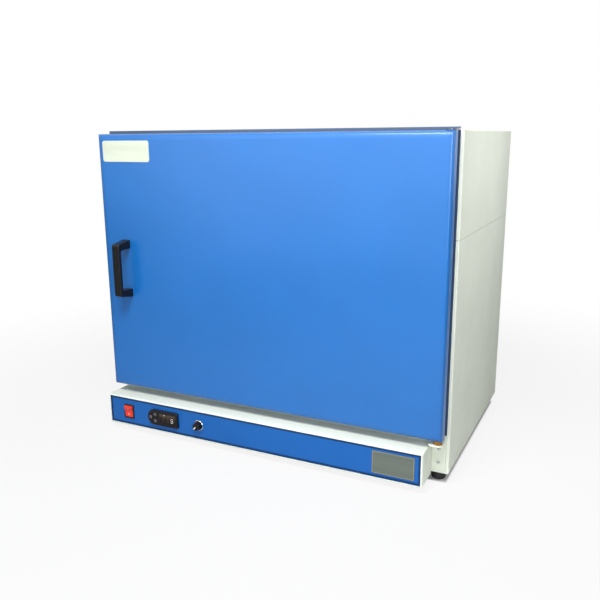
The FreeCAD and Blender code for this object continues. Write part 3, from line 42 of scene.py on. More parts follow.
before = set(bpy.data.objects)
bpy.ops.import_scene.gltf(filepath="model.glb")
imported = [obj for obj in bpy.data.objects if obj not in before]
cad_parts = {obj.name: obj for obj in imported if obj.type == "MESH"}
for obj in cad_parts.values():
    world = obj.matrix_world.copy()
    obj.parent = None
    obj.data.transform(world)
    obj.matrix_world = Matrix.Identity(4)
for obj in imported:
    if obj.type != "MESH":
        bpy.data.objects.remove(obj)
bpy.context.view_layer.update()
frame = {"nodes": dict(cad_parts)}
nodes = frame["nodes"]

WHITE = (1.0, 1.0, 1.0, 1.0)
BLACK = (0.0, 0.0, 0.0, 1.0)


# Settings that a user would change

YAW = math.radians(25.976)
PITCH = math.radians(-13.317)
ROLL = math.radians(-0.396)


def colour(name, description, default):
    """A colour property."""
    return FloatVectorProperty(name=name, description=description, default=default, size=3, min=0.0,
                               max=1.0, subtype="COLOR")


def number(name, description, default, **more):
    """A number property."""
    return FloatProperty(name=name, description=description, default=default, **more)


def share(name, description, default):
    """A property between 0 and 1."""
    return number(name, description, default, min=0.0, max=1.0, subtype="FACTOR")


def power(name, description, default):
    """A lamp's power in watts."""
    return number(name, description, default, min=0.0, subtype="POWER", unit="POWER")


def angle(name, description, default):
    """An angle property."""
    return number(name, description, default, subtype="ANGLE", unit="ROTATION")


class SterilizerPaints(bpy.types.PropertyGroup):
    """Colours of the painted sheet metal."""

    casing: colour("Casing", "Off-white powder coat of the casing", (0.80, 0.85, 0.75))
    door: colour("Door", "Blue enamel of the door", (0.006, 0.138, 0.46))
    fascia: colour("Fascia", "Blue of the control panel", (0.0056, 0.112, 0.41))
    frame: colour("Front frame", "Dark enamel of the frame behind the door", (0.046, 0.087, 0.172))
    grain: number("Grain", "Size of the powder coat's grain", 0.0011, min=0.0, unit="LENGTH")
    wear: share("Wear", "How much the paint has rubbed thin along its edges", 0.25)
    dust: share("Dust", "How much dust lies on surfaces that face up", 0.12)


class SterilizerFittings(bpy.types.PropertyGroup):
    """Colours of the plastic and metal fittings."""

    plastic: colour("Black plastic", "Handle, controller and knob", (0.008, 0.008, 0.009))
    rocker: colour("Rocker", "Red of the power switch", (0.80, 0.035, 0.012))
    keys: colour("Keys", "Keys of the controller", (0.13, 0.105, 0.11))
    brass: colour("Brass", "Washer of the lower hinge", (0.40, 0.20, 0.055))
    pointer: colour("Pointer", "White line of the dial", (0.86, 0.88, 0.80))
    lit: colour("Lit bars", "Bars of the display that are lit", (0.80, 0.78, 0.70))
    unlit: colour("Unlit bars", "Bars of the display that are off", (0.075, 0.030, 0.022))
    plate: colour("Silver plate", "Bare plate on the control panel", (0.150, 0.180, 0.152))
    door_plate: colour("White plate", "Bare plate on the door", (0.62, 0.68, 0.56))
    rubber: colour("Rubber", "Feet", (0.016, 0.016, 0.017))


class SterilizerStage(bpy.types.PropertyGroup):
    """Camera, lamps and floor."""

    place: FloatVectorProperty(name="Camera", description="Where the camera stands", size=3,
                               default=(0.6571, -1.4144, 0.6510), subtype="TRANSLATION", unit="LENGTH")
    yaw: angle("Yaw", "Turn of the camera to the left", YAW)
    pitch: angle("Pitch", "Tilt of the camera, up", PITCH)
    roll: angle("Roll", "Roll of the camera", ROLL)
    lens: number("Lens", "Focal length in millimetres", 41.037, min=10.0)
    front_power: power("Front softbox", "Power of the large lamp in front", 18.5)
    near_power: power("Near softbox", "Power of the lamp above the door", 16.5)
    side_power: power("Side softbox", "Power of the lamp beside the right side", 1.35)
    edge_power: power("Edge strip", "Power of the lamp that lights the door's right edge", 7.5)
    back_power: power("Back softbox", "Power of the lamp behind", 9.5)
    sky: number("Sky", "Strength of the even light from all round", 0.12, min=0.0)
    floor: colour("Floor", "Colour of the floor", (0.58, 0.58, 0.58))


def paints():
    """The paint settings of the scene."""
    return bpy.context.scene.sterilizer_paints


def fittings():
    """The settings of the fittings."""
    return bpy.context.scene.sterilizer_fittings


# Node trees


def feed(tree, socket, value):
    """Links an output socket to an input, or sets the input's value."""
    if isinstance(value, bpy.types.NodeSocket):
        tree.links.new(value, socket)
    else:
        socket.default_value = value


def add(tree, kind, inputs=None, **settings):
    """Adds a node, with its settings and its inputs by name or number."""
    made = tree.nodes.new("ShaderNode" + kind)
    for name, value in settings.items():
        setattr(made, name, value)
    for key, value in (inputs or {}).items():
        feed(tree, made.inputs[key], value)
    return made


def maths(tree, operation, first, second=0.0, clamp=False):
    """One sum, product or other operation on two numbers."""
    return add(tree, "Math", {0: first, 1: second}, operation=operation, use_clamp=clamp).outputs[0]


def times(tree, first, second, clamp=False):
    """The product of two numbers."""
    return maths(tree, "MULTIPLY", first, second, clamp)


def plus(tree, first, second, clamp=False):
    """The sum of two numbers."""
    return maths(tree, "ADD", first, second, clamp)


def minus(tree, first, second):
    """One number less another."""
    return maths(tree, "SUBTRACT", first, second)


def split(tree, vector):
    """A vector's parts, by X, Y and Z."""
    return add(tree, "SeparateXYZ", {0: vector}).outputs


def span(tree, value, low, high, low_value=0.0, high_value=1.0):
    """Maps a number from one range to another, smoothly and clamped."""
    inputs = {"Value": value, "From Min": low, "From Max": high, "To Min": low_value,
              "To Max": high_value}
    return add(tree, "MapRange", inputs, interpolation_type="SMOOTHSTEP").outputs["Result"]


def blend(tree, factor, first, second):
    """Mixes two colours by a factor."""
    made = add(tree, "Mix", {0: factor, 6: first, 7: second}, data_type="RGBA")
    return made.outputs[2]


def noise(tree, vector, scale, detail=2.0, roughness=0.5):
    """A noise pattern's value."""
    inputs = {"Vector": vector, "Scale": scale, "Detail": detail, "Roughness": roughness}
    return add(tree, "TexNoise", inputs, noise_dimensions="3D").outputs["Fac"]


def place(tree):
    """The Object coordinates, in metres."""
    return add(tree, "TexCoord").outputs["Object"]


def stretched(tree, vector, scale, turn=(0.0, 0.0, 0.0)):
    """A pattern's coordinates, turned and scaled apart along each axis."""
    return add(tree, "Mapping", {"Vector": vector, "Scale": scale, "Rotation": turn}).outputs[0]


def group(name, inputs, outputs, fill):
    """Builds a node group once, and fill makes its nodes.

    An input with a default is a number and one with None is a vector; what it puts out are numbers.
    """
    tree = bpy.data.node_groups.get(name)
    if tree:
        return tree
    tree = bpy.data.node_groups.new(name, "ShaderNodeTree")
    for label, default in inputs.items():
        kind = "NodeSocketVector" if default is None else "NodeSocketFloat"
        made = tree.interface.new_socket(label, in_out="INPUT", socket_type=kind)
        if default is not None:
            made.default_value = default
    for label in outputs:
        tree.interface.new_socket(label, in_out="OUTPUT", socket_type="NodeSocketFloat")
    entry = tree.nodes.new("NodeGroupInput")
    exit_node = tree.nodes.new("NodeGroupOutput")
    for label, value in fill(tree, entry.outputs).items():
        tree.links.new(value, exit_node.inputs[label])
    return tree


def use(tree, group_tree, **inputs):
    """Places a node group, with its inputs by name, underscores standing for spaces."""
    made = tree.nodes.new("ShaderNodeGroup")
    made.node_tree = group_tree
    for key, value in inputs.items():
        feed(tree, made.inputs[key.replace("_", " ")], value)
    return made.outputs


def powder_group():
    """Powder coat: a fine orange-peel height and a faint cloud in its tone."""
    def fill(tree, given):
        scale = maths(tree, "DIVIDE", 1.0, given["Grain"])
        fine = noise(tree, given["Vector"], scale, 1.0)
        peel = noise(tree, given["Vector"], times(tree, scale, 0.31), 2.0)
        height = plus(tree, times(tree, fine, 0.55), times(tree, peel, 0.8))
        cloud = noise(tree, given["Vector"], 9.0, 3.0, 0.6)
        return {"Height": height, "Cloud": cloud}
    return group("powder coat grain", {"Vector": None, "Grain": 0.0011}, ("Height", "Cloud"), fill)


def wear_group():
    """Edge wear: where a rounded normal departs from the flat one, broken up by noise."""
    def fill(tree, given):
        rounded = add(tree, "Bevel", {"Radius": given["Radius"]}, samples=4).outputs["Normal"]
        flat = add(tree, "NewGeometry").outputs["Normal"]
        dot = add(tree, "VectorMath", {0: rounded, 1: flat}, operation="DOT_PRODUCT").outputs["Value"]
        edge = span(tree, dot, 0.995, 0.80)
        broken = span(tree, noise(tree, given["Vector"], 160.0, 4.0, 0.65), 0.46, 0.66)
        mask = times(tree, times(tree, edge, broken), given["Amount"], True)
        return {"Mask": mask}
    inputs = {"Vector": None, "Radius": 0.0012, "Amount": 0.3}
    return group("edge wear", inputs, ("Mask",), fill)


def dust_group():
    """Dust: a thin film on what faces up, thicker in patches."""
    def fill(tree, given):
        normal = add(tree, "NewGeometry").outputs["Normal"]
        up = split(tree, normal)["Z"]
        patch = span(tree, noise(tree, given["Vector"], 22.0, 5.0, 0.6), 0.30, 0.75, 0.35, 1.0)
        film = times(tree, span(tree, up, 0.35, 0.95), patch)
        return {"Mask": times(tree, film, given["Amount"], True)}
    return group("dust film", {"Vector": None, "Amount": 0.1}, ("Mask",), fill)


def smudge_group():
    """Smudges: soft marks of hands and cloths that change the gloss."""
    def fill(tree, given):
        broad = noise(tree, given["Vector"], 7.0, 3.0, 0.55)
        wiping = stretched(tree, given["Vector"], (14.0, 14.0, 55.0), (0.0, 0.5, 0.0))
        wiped = noise(tree, wiping, 1.0, 3.0)
        mark = times(tree, span(tree, broad, 0.42, 0.68), span(tree, wiped, 0.35, 0.7))
        return {"Mask": times(tree, mark, given["Amount"], True)}
    return group("smudges", {"Vector": None, "Amount": 0.3}, ("Mask",), fill)


def brush_group():
    """Brushed metal: long fine lines in the direction in which the coordinates are squeezed."""
    def fill(tree, given):
        lines = noise(tree, given["Vector"], 1.0, 3.0, 0.7)
        broad = noise(tree, given["Vector"], 0.16, 2.0, 0.5)
        height = plus(tree, lines, times(tree, broad, 0.5))
        return {"Height": height, "Tone": span(tree, broad, 0.3, 0.7)}
    return group("brushed lines", {"Vector": None}, ("Height", "Tone"), fill)


def border_group():
    """Border: a line that runs at a set inset inside a rectangle in the plane of X and Z."""
    def fill(tree, given):
        offset = add(tree, "VectorMath", {0: given["Vector"], 1: given["Centre"]}, operation="SUBTRACT")
        reach = add(tree, "VectorMath", {0: offset.outputs[0]}, operation="ABSOLUTE").outputs[0]
        past = add(tree, "VectorMath", {0: reach, 1: given["Half"]}, operation="SUBTRACT").outputs[0]
        parts = split(tree, past)
        depth = times(tree, maths(tree, "MAXIMUM", parts["X"], parts["Z"]), -1.0)
        off_line = maths(tree, "ABSOLUTE", minus(tree, depth, given["Inset"]))
        half_line = times(tree, given["Width"], 0.5)
        sharp = times(tree, half_line, 1.4)
        line = span(tree, off_line, half_line, sharp, 1.0, 0.0)
        return {"Line": line, "Depth": depth}
    inputs = {"Vector": None, "Centre": None, "Half": None, "Inset": 0.002, "Width": 0.0005}
    return group("border line", inputs, ("Line", "Depth"), fill)


# Materials

SPARK_GRAIN = 0.0005


def rgba(values):
    """A colour with its alpha."""
    return (*values, 1.0)


def shade(values, factor):
    """A colour made darker or lighter by a factor."""
    return tuple(min(1.0, value * factor) for value in values)


def connect(tree, shader, inputs):
    """Feeds a shader's inputs, by name."""
    for key, value in inputs.items():
        feed(tree, shader.inputs[key], value)


def new_material(name):
    """A new material, with its tree, its Principled shader and the Object coordinates."""
    made = bpy.data.materials.new(name)
    made.use_nodes = True
    tree = made.node_tree
    return made, tree, tree.nodes["Principled BSDF"], place(tree)


def bump(tree, height, distance, normal=None):
    """A Bump node's normal from a height, over a normal made before it."""
    made = add(tree, "Bump", {"Height": height, "Distance": distance})
    if normal is not None:
        tree.links.new(normal, made.inputs["Normal"])
    return made.outputs["Normal"]


def powder_paint(name, base, roughness, peel, coat=0.0, wave=0.0, bare=(0.30, 0.31, 0.32), sheen=0.5):
    """Sheet metal paint: clouds, orange peel, dust on what faces up, worn edges and smudged gloss."""
    made, tree, shader, vector = new_material(name)
    grain = use(tree, powder_group(), Vector=vector, Grain=paints().grain)
    wear = use(tree, wear_group(), Vector=vector, Amount=paints().wear)["Mask"]
    dust = use(tree, dust_group(), Vector=vector, Amount=paints().dust)["Mask"]
    smudge = use(tree, smudge_group(), Vector=vector, Amount=0.5)["Mask"]
    cloud = span(tree, grain["Cloud"], 0.3, 0.7)
    cloudy = blend(tree, cloud, rgba(shade(base, 0.965)), rgba(shade(base, 1.02)))
    dusty = blend(tree, dust, cloudy, (0.62, 0.60, 0.55, 1.0))
    worn = blend(tree, wear, dusty, rgba(bare))
    rough = plus(tree, roughness, times(tree, smudge, 0.12))
    rough = plus(tree, rough, times(tree, dust, 0.5))
    normal = bump(tree, grain["Height"], peel)
    if wave:
        normal = bump(tree, noise(tree, vector, 5.0, 1.0), wave, normal)
    connect(tree, shader, {"Base Color": worn, "Roughness": rough, "Normal": normal, "Coat Weight": coat,
                           "Coat Roughness": 0.10, "Specular IOR Level": sheen})
    return made


def casing_paint(name):
    """The casing's off-white powder coat."""
    return powder_paint(name, paints().casing, 0.55, 0.00007, sheen=0.15)


def moulded_plastic(name, base, roughness, depth=0.00001, wear=0.3, sheen=1.5, gloss=0.5):
    """Moulded plastic: fine spark grain, a little paler on rubbed edges, smudged gloss."""
    made, tree, shader, vector = new_material(name)
    fine = noise(tree, vector, 1.0 / SPARK_GRAIN, 2.0)
    mask = use(tree, wear_group(), Vector=vector, Radius=0.0008, Amount=wear)["Mask"]
    smudge = use(tree, smudge_group(), Vector=vector, Amount=0.7)["Mask"]
    pale = blend(tree, mask, rgba(base), rgba(value * sheen + 0.04 for value in base))
    tone = blend(tree, times(tree, fine, 0.10), pale, rgba(value + 0.01 for value in base))
    rough = plus(tree, roughness, times(tree, smudge, 0.12))
    connect(tree, shader, {"Base Color": tone, "Roughness": rough, "Normal": bump(tree, fine, depth),
                           "Specular IOR Level": gloss})
    return made


def brushed_metal(name, base, roughness, scale, stain=0.15):
    """Brushed metal: lines along one axis, uneven gloss and a faint stain."""
    made, tree, shader, vector = new_material(name)
    lines = use(tree, brush_group(), Vector=stretched(tree, vector, scale))
    smudge = use(tree, smudge_group(), Vector=vector, Amount=0.8)["Mask"]
    toned = blend(tree, lines["Tone"], rgba(shade(base, 0.93)), rgba(shade(base, 1.05)))
    cloud = span(tree, noise(tree, vector, 14.0, 4.0, 0.6), 0.45, 0.75)
    stained = blend(tree, times(tree, cloud, stain), toned, rgba(shade(base, 0.55)))
    rough = plus(tree, roughness, times(tree, lines["Tone"], 0.06))
    rough = plus(tree, rough, times(tree, smudge, 0.10))
    normal = bump(tree, lines["Height"], 0.00002)
    connect(tree, shader, {"Base Color": stained, "Metallic": 1.0, "Roughness": rough, "Normal": normal})
    return made


def plated_metal(name, base, roughness):
    """Plated or turned metal: a cloudy tone and uneven gloss."""
    made, tree, shader, vector = new_material(name)
    cloud = noise(tree, vector, 130.0, 4.0, 0.6)
    tone = blend(tree, span(tree, cloud, 0.35, 0.7), rgba(shade(base, 0.82)), rgba(shade(base, 1.06)))
    rough = span(tree, cloud, 0.3, 0.7, roughness, roughness + 0.12)
    normal = bump(tree, noise(tree, vector, 900.0), 0.00001)
    connect(tree, shader, {"Base Color": tone, "Metallic": 1.0, "Roughness": rough, "Normal": normal})
    return made


def soft_matt(name, base, roughness, scale, depth):
    """Rubber, silicone or wool: a matt skin with bloom and a grain of its own size."""
    made, tree, shader, vector = new_material(name)
    grain = noise(tree, vector, scale, 4.0, 0.6)
    bloom = span(tree, noise(tree, vector, scale * 0.05, 3.0), 0.4, 0.75, 0.0, 0.25)
    tone = blend(tree, bloom, rgba(base), rgba(value * 1.6 + 0.02 for value in base))
    dust = use(tree, dust_group(), Vector=vector, Amount=paints().dust)["Mask"]
    dusty = blend(tree, dust, tone, (0.45, 0.44, 0.42, 1.0))
    rough = span(tree, grain, 0.3, 0.7, roughness - 0.06, roughness + 0.06)
    connect(tree, shader, {"Base Color": dusty, "Roughness": rough, "Normal": bump(tree, grain, depth)})
    return made


def plate_material(name, base, border, node, inset, width, metallic, roughness, lines):
    """A bare plate: fine lines along X, a printed border line inside its rim and an uneven gloss."""
    made, tree, shader, vector = new_material(name)
    centre, half = halves(node)
    frame_line = use(tree, border_group(), Vector=vector, Centre=centre, Half=half, Inset=inset,
                     Width=width)["Line"]
    brushed = use(tree, brush_group(), Vector=stretched(tree, vector, lines))
    toned = blend(tree, brushed["Tone"], rgba(shade(base, 0.94)), rgba(shade(base, 1.05)))
    lined = blend(tree, frame_line, toned, rgba(border))
    rough = span(tree, brushed["Tone"], 0.0, 1.0, roughness, roughness + 0.08)
    normal = bump(tree, brushed["Height"], 0.00001)
    connect(tree, shader, {"Base Color": lined, "Metallic": metallic, "Roughness": rough,
                           "Normal": normal})
    return made


def overpaint(material, mask, values):
    """Lays a colour over a material's base colour where a mask is 1."""
    tree = material.node_tree
    socket = tree.nodes["Principled BSDF"].inputs["Base Color"]
    feed(tree, socket, blend(tree, mask, socket.links[0].from_socket, rgba(values)))


def dress(material, *names):
    """Gives CAD nodes a material."""
    for name in names:
        mesh = nodes[name].data
        mesh.materials.clear()
        mesh.materials.append(material)


# Surfaces

WELD = 1e-6


def grid_faces(rows, columns, wrap_rows, wrap_columns, start):
    """Quads of a grid of points, numbered row by row from start; a wrapped side joins last to first."""
    i = np.arange(rows if wrap_rows else rows - 1)
    j = np.arange(columns if wrap_columns else columns - 1)
    a, b = np.meshgrid(i, j, indexing="ij")
    a1, b1 = (a + 1) % rows, (b + 1) % columns
    quads = np.stack([a * columns + b, a1 * columns + b, a1 * columns + b1, a * columns + b1], axis=-1)
    return quads.reshape(-1, 4) + start


def welded(name, vertices, faces, closed):
    """A mesh whose doubled points are merged; a closed one also gets its faces turned outwards."""
    mesh = bpy.data.meshes.new(name)
    mesh.from_pydata(vertices.tolist(), [], faces.tolist())
    shape = bmesh.new()
    shape.from_mesh(mesh)
    bmesh.ops.remove_doubles(shape, verts=shape.verts, dist=WELD)
    if closed:
        bmesh.ops.recalc_face_normals(shape, faces=shape.faces)
    shape.to_mesh(mesh)
    shape.free()
    return mesh


def put(name, data):
    """A new object at the origin, in the scene."""
    made = bpy.data.objects.new(name, data)
    bpy.context.scene.collection.objects.link(made)
    return made


def piece(name, grids, body, material, replaced=(), crease=35.0):
    """An object from grids of points (array, wrap_rows, wrap_columns), welded and riding on a body."""
    faces, start = [], 0
    for points, wrap_rows, wrap_columns in grids:
        rows, columns = points.shape[:2]
        faces.append(grid_faces(rows, columns, wrap_rows, wrap_columns, start))
        start += rows * columns
    vertices = np.concatenate([points.reshape(-1, 3) for points, _, _ in grids])
    mesh = welded(name, vertices, np.concatenate(faces), True)
    mesh.polygons.foreach_set("use_smooth", np.ones(len(mesh.polygons), dtype=bool))
    mesh.set_sharp_from_angle(angle=math.radians(crease))
    mesh.materials.append(material)
    made = put(name, mesh)
    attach(made, body)
    if replaced:
        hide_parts(*replaced)
    return made


def lathe(profile, centre, axis, steps, wobble=None):
    """Revolves a profile of points (r, h): centre + h axis + r (cos t across + sin t up).

    A wobble adds to h from the two across distances and h.
    """
    axis = np.asarray(axis, float)
    helper = np.array([1.0, 0.0, 0.0]) if abs(axis[0]) < 0.9 else np.array([0.0, 0.0, 1.0])
    across = np.cross(axis, helper)
    across /= np.linalg.norm(across)
    up = np.cross(axis, across)
    turn = np.linspace(0.0, math.tau, steps, endpoint=False)
    radius = np.asarray(profile, float)[:, 0][:, None] * np.ones(steps)
    height = np.asarray(profile, float)[:, 1][:, None] * np.ones(steps)
    x, y = radius * np.cos(turn), radius * np.sin(turn)
    if wobble is not None:
        height = height + wobble(x, y, height)
    points = (np.asarray(centre, float) + height[..., None] * axis + x[..., None] * across
              + y[..., None] * up)
    return points, False, True


def arc_points(centre, radius, first, last, count):
    """Points of an arc in a profile's plane, from the angle first to the angle last, in degrees."""
    turn = np.radians(np.linspace(first, last, count))
    return np.stack([centre[0] + radius * np.cos(turn), centre[1] + radius * np.sin(turn)], axis=1)


def rounded_rectangle(half_w, half_h, radius, count=6):
    """A closed outline with round corners, as an array of (x, z)."""
    corners = [(1, 1, 0), (-1, 1, 90), (-1, -1, 180), (1, -1, 270)]
    parts = [arc_points((sx * (half_w - radius), sz * (half_h - radius)), radius, a, a + 90, count)
             for sx, sz, a in corners]
    return np.concatenate(parts)


def raised(outline, reach, centre):
    """A thin raised mark on an upright face: an outline of (x, z), rounded over at its front edge.

    At the inset d from the edge the outline is drawn in by 1 - d / reach on each axis, and stands at
    depth - edge + edge sin(a) with d = edge (1 - cos(a)).
    """
    turn = np.linspace(0.0, math.pi / 2, 4)
    inset = np.concatenate([[0.0], MARK_EDGE * (1 - np.cos(turn)), [max(reach)]])
    rise = np.concatenate([[0.0], MARK_DEPTH - MARK_EDGE + MARK_EDGE * np.sin(turn), [MARK_DEPTH]])
    x = centre[0] + outline[:, 0][None] * np.clip(1.0 - inset / reach[0], 0.0, 1.0)[:, None]
    z = centre[2] + outline[:, 1][None] * np.clip(1.0 - inset / reach[1], 0.0, 1.0)[:, None]
    y = centre[1] - rise[:, None] + np.zeros(len(outline))
    return np.stack([x, y, z], axis=-1), False, True


def pad(centre, half_w, half_h, radius):
    """A raised round-cornered bar."""
    return raised(rounded_rectangle(half_w, half_h, radius), (half_w, half_h), centre)


def arrow(centre, size, up):
    """A raised triangle with blunt corners that points up or down."""
    corners = [arc_points((0.55 * size * math.sin(a), 0.55 * size * math.cos(a)), 0.22 * size,
                          math.degrees(math.pi / 2 - a) + 60, math.degrees(math.pi / 2 - a) - 60, 5)
               for a in (0.0, math.tau / 3, 2 * math.tau / 3)]
    outline = np.concatenate(corners) * np.array([1.0, up])
    return raised(outline, (0.5 * size, 0.5 * size), centre)


def ribbon(path, outward, across, half_width, rise, sink):
    """A domed strip laid along a path: at s from -1 to 1 across it stands rise (1 - s s) above its path.

    Its back runs at the depth sink below the path, and its two ends close to a point there.
    """
    s = np.linspace(-1.0, 1.0, 9)
    crown = rise * (1.0 - s * s)
    loop_s = np.concatenate([s, s[::-1]])
    loop_h = np.concatenate([crown, np.full(9, -sink)])
    points = (path[:, None, :] + loop_s[None, :, None] * half_width * across
              + loop_h[None, :, None] * outward[:, None, :])
    start = np.repeat((path[0] - sink * outward[0])[None], 18, axis=0)
    end = np.repeat((path[-1] - sink * outward[-1])[None], 18, axis=0)
    return np.concatenate([start[None], points, end[None]]), False, True


def unit(rows):
    """Each row of an array at length 1."""
    return rows / np.linalg.norm(rows, axis=1)[:, None]


def swept_loop(half_w, half_h, radius, centre, profile):
    """A closed profile carried round a rounded rectangle in an upright plane.

    A profile point (u, v) goes to the outline's point moved out by u and back by v along Y.
    """
    outline = rounded_rectangle(half_w, half_h, radius, 12)
    ahead = np.roll(outline, -1, axis=0) - outline
    behind = outline - np.roll(outline, 1, axis=0)
    tangent = unit(unit(ahead) + unit(behind))
    out = np.stack([tangent[:, 1], -tangent[:, 0]], axis=1)
    x = centre[0] + outline[:, 0][:, None] + out[:, 0][:, None] * profile[:, 0]
    z = centre[2] + outline[:, 1][:, None] + out[:, 1][:, None] * profile[:, 0]
    y = centre[1] + np.ones(len(outline))[:, None] * profile[:, 1]
    return np.stack([x, y, z], axis=-1), True, True


def halves(node):
    """The middle of a CAD node's box, and half its size."""
    low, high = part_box(node)
    return (low + high) / 2, (high - low) / 2


# Screws

SCREW_HEAD = 0.0038
SCREW_RISE = 0.0022
SCREW_SHANK = 0.002
SCREW_DOME = 0.0068
CROSS_DEPTH = 0.0013
CROSS_WIDTH = 0.00052


def cross_recess(x, y, height):
    """Depth of a cross recess: two tapering slots at right angles, on the head's top only."""
    reach = np.hypot(x, y)
    slot = np.minimum(np.abs(x + y), np.abs(x - y)) / math.sqrt(2)
    width = CROSS_WIDTH * (1.0 - reach / (0.62 * SCREW_HEAD))
    sunk = np.clip((width + 0.00012 - slot) / 0.00016, 0.0, 1.0) * (reach < 0.6 * SCREW_HEAD)
    deep = CROSS_DEPTH * np.clip(1.15 - reach / (0.6 * SCREW_HEAD), 0.0, 1.0)
    return -sunk * deep * (height > 0.4 * SCREW_RISE)


def screw(seat, outward, shank):
    """A pan head screw as one closed lathe surface: a domed head with a cross recess, and its shank."""
    dome = arc_points((0.0, SCREW_RISE - SCREW_DOME), SCREW_DOME, 90.0, 63.0, 12)
    dome = dome[dome[:, 0] <= SCREW_HEAD - 0.0006]
    rim = [(SCREW_HEAD - 0.0001, 0.0009), (SCREW_HEAD, 0.0006), (SCREW_HEAD - 0.0001, 0.0)]
    radius = np.linspace(0.0, dome[-1, 0], 14)
    fine = np.stack([radius, np.interp(radius, dome[:, 0], dome[:, 1])], axis=1)
    tail = [(SCREW_SHANK, 0.0), (SCREW_SHANK, -shank), (0.0, -shank)]
    profile = np.concatenate([fine, rim, tail])
    return lathe(profile, seat, outward, 32, cross_recess)


def screw_set(name, node, outward, body, material):
    """Screws in place of a CAD node's, one for each of its separate solids."""
    grids = []
    axis = Vector(outward)
    for low, high in solids_of(node):
        centre = (low + high) / 2
        span_along = abs((high - low).dot(axis)) / 2
        seat = centre + axis * (span_along - SCREW_RISE)
        shank = 2 * span_along - SCREW_RISE
        grids.append(screw(seat, outward, shank))
    return piece(name, grids, body, material, (node,), 50.0)


def solids_of(node):
    """Boxes of a CAD node's separate solids: each corner takes the least label met along its edges."""
    mesh = nodes[node].data
    corners = np.empty(3 * len(mesh.vertices), dtype=np.float32)
    mesh.vertices.foreach_get("co", corners)
    _, first, same = np.unique(corners.reshape(-1, 3).round(6), axis=0, return_index=True,
                               return_inverse=True)
    ends = np.empty(2 * len(mesh.edges), dtype=np.int32)
    mesh.edges.foreach_get("vertices", ends)
    ends = same.reshape(-1)[ends].reshape(-1, 2)
    label = np.arange(len(first))
    settled = False
    while not settled:
        before = label.copy()
        least = np.minimum(label[ends[:, 0]], label[ends[:, 1]])
        np.minimum.at(label, ends[:, 0], least)
        np.minimum.at(label, ends[:, 1], least)
        label = label[label]
        settled = np.array_equal(before, label)
    points = corners.reshape(-1, 3)[first]
    groups = [points[label == root] for root in np.unique(label)]
    return [(Vector(part.min(axis=0)), Vector(part.max(axis=0))) for part in groups]


# Sizes of the fine pieces and of the painted lines, in metres

BORDER_INSET = 0.0008
BORDER_WIDTH = 0.0040
RIM_EDGE = 0.0034
RIM_WIDTH = 0.005
RIM_DEPTH = 0.0012
MARK_SINK = 0.00005
MARK_DEPTH = 0.00009
MARK_HEIGHT = 0.0072
MARK_EDGE = 0.00003
MARK_LINE = 0.00035
BAR_REACH = 0.0019
RING_RADIUS = 0.0016
KEY_RING_RADIUS = 0.0014
KEY_ARROW = 0.0028
DIGIT_HALF = (0.0026, 0.0046)
DIGIT_DROP = 0.0012
BAR_THIN = 0.00045
BAR_GAP = 0.00025
SPOT_HALF = 0.0009
SPOT_ROUND = 0.0008
SPOT_DROP = 0.0028
KNOB_TOP = 0.0081
KNOB_FOOT = 0.0092
POINTER_START = (0.0012, 0.0040)
POINTER_BEND = 0.0012
POINTER_END = 0.0105
POINTER_HALF = 0.0012
POINTER_RISE = 0.0003
POINTER_SINK = 0.0009
SEAL_WIDTH = 0.012
SEAL_CORNER = 0.028
ROLL_START = 0.013
ROLL_WIDTH = 0.010
ROLL_DROP = 0.0018

# Digits and small lamps of the window: each one's share of its width, and its state

DIGIT_SHARES = ((0.24, "unlit"), (0.50, "unlit"), (0.78, "lit"))
SPOT_SHARES = ((0.30, "lit"), (0.80, "unlit"))

# Darkening of the painted recess shade on the fascia's border, and lean of the pointer's foot in degrees

PAINTED_RECESS_SHADE = 0.36
POINTER_LEAN = 6.0


def digit_bars(x, z):
    """The seven bars of a digit: the x and z of each one's middle, and half its width and height."""
    w, h = DIGIT_HALF
    long, tall = w - BAR_THIN - BAR_GAP, h / 2 - BAR_THIN - BAR_GAP
    bars = [(x, z + rise, long, BAR_THIN) for rise in (h, 0.0, -h)]
    corners = ((-w, h / 2), (w, h / 2), (-w, -h / 2), (w, -h / 2))
    return bars + [(x + side, z + rise, BAR_THIN, tall) for side, rise in corners]


class SterilizerCasing(bpy.types.Operator):
    """Paints the casing and puts its screws in"""

    bl_idname = "sterilizer.casing"
    bl_label = "Casing"

    def execute(self, context):
        white = casing_paint("casing powder coat")
        dress(white, "lower_shell", "upper_cover", "lower_panel", "rear_panel", "hinge_bracket_lower")
        dark = powder_paint("front frame enamel", paints().frame, 0.30, 0.00004, coat=0.3)
        dress(dark, "front_frame", "hinge_bracket_upper")
        zinc = plated_metal("zinc plate", (0.58, 0.59, 0.58), 0.30)
        dress(zinc, "support_tray", "seam_strips", "hinge_pins", "hinge_blocks", "catch_strikes",
              "handle_screws", "limiter_shaft", "inlet_pins", "vent_plate", "inlet_plate")
        screw_set("rear_panel_screws", "rear_screws", (0.0, 1.0, 0.0), "cabinet", zinc)
        screw_set("bracket_pan_screws", "bracket_screws", (0.0, -1.0, 0.0), "cabinet", zinc)
        screw_set("foot_pan_screws", "foot_screws", (0.0, 0.0, -1.0), "cabinet", zinc)
        dress(plated_metal("turned brass", fittings().brass, 0.22), "hinge_washer")
        rubber = soft_matt("foot rubber", fittings().rubber, 0.62, 700.0, 0.00004)
        dress(rubber, "foot_front_left", "foot_front_right", "foot_rear_left", "foot_rear_right")
        return {"FINISHED"}


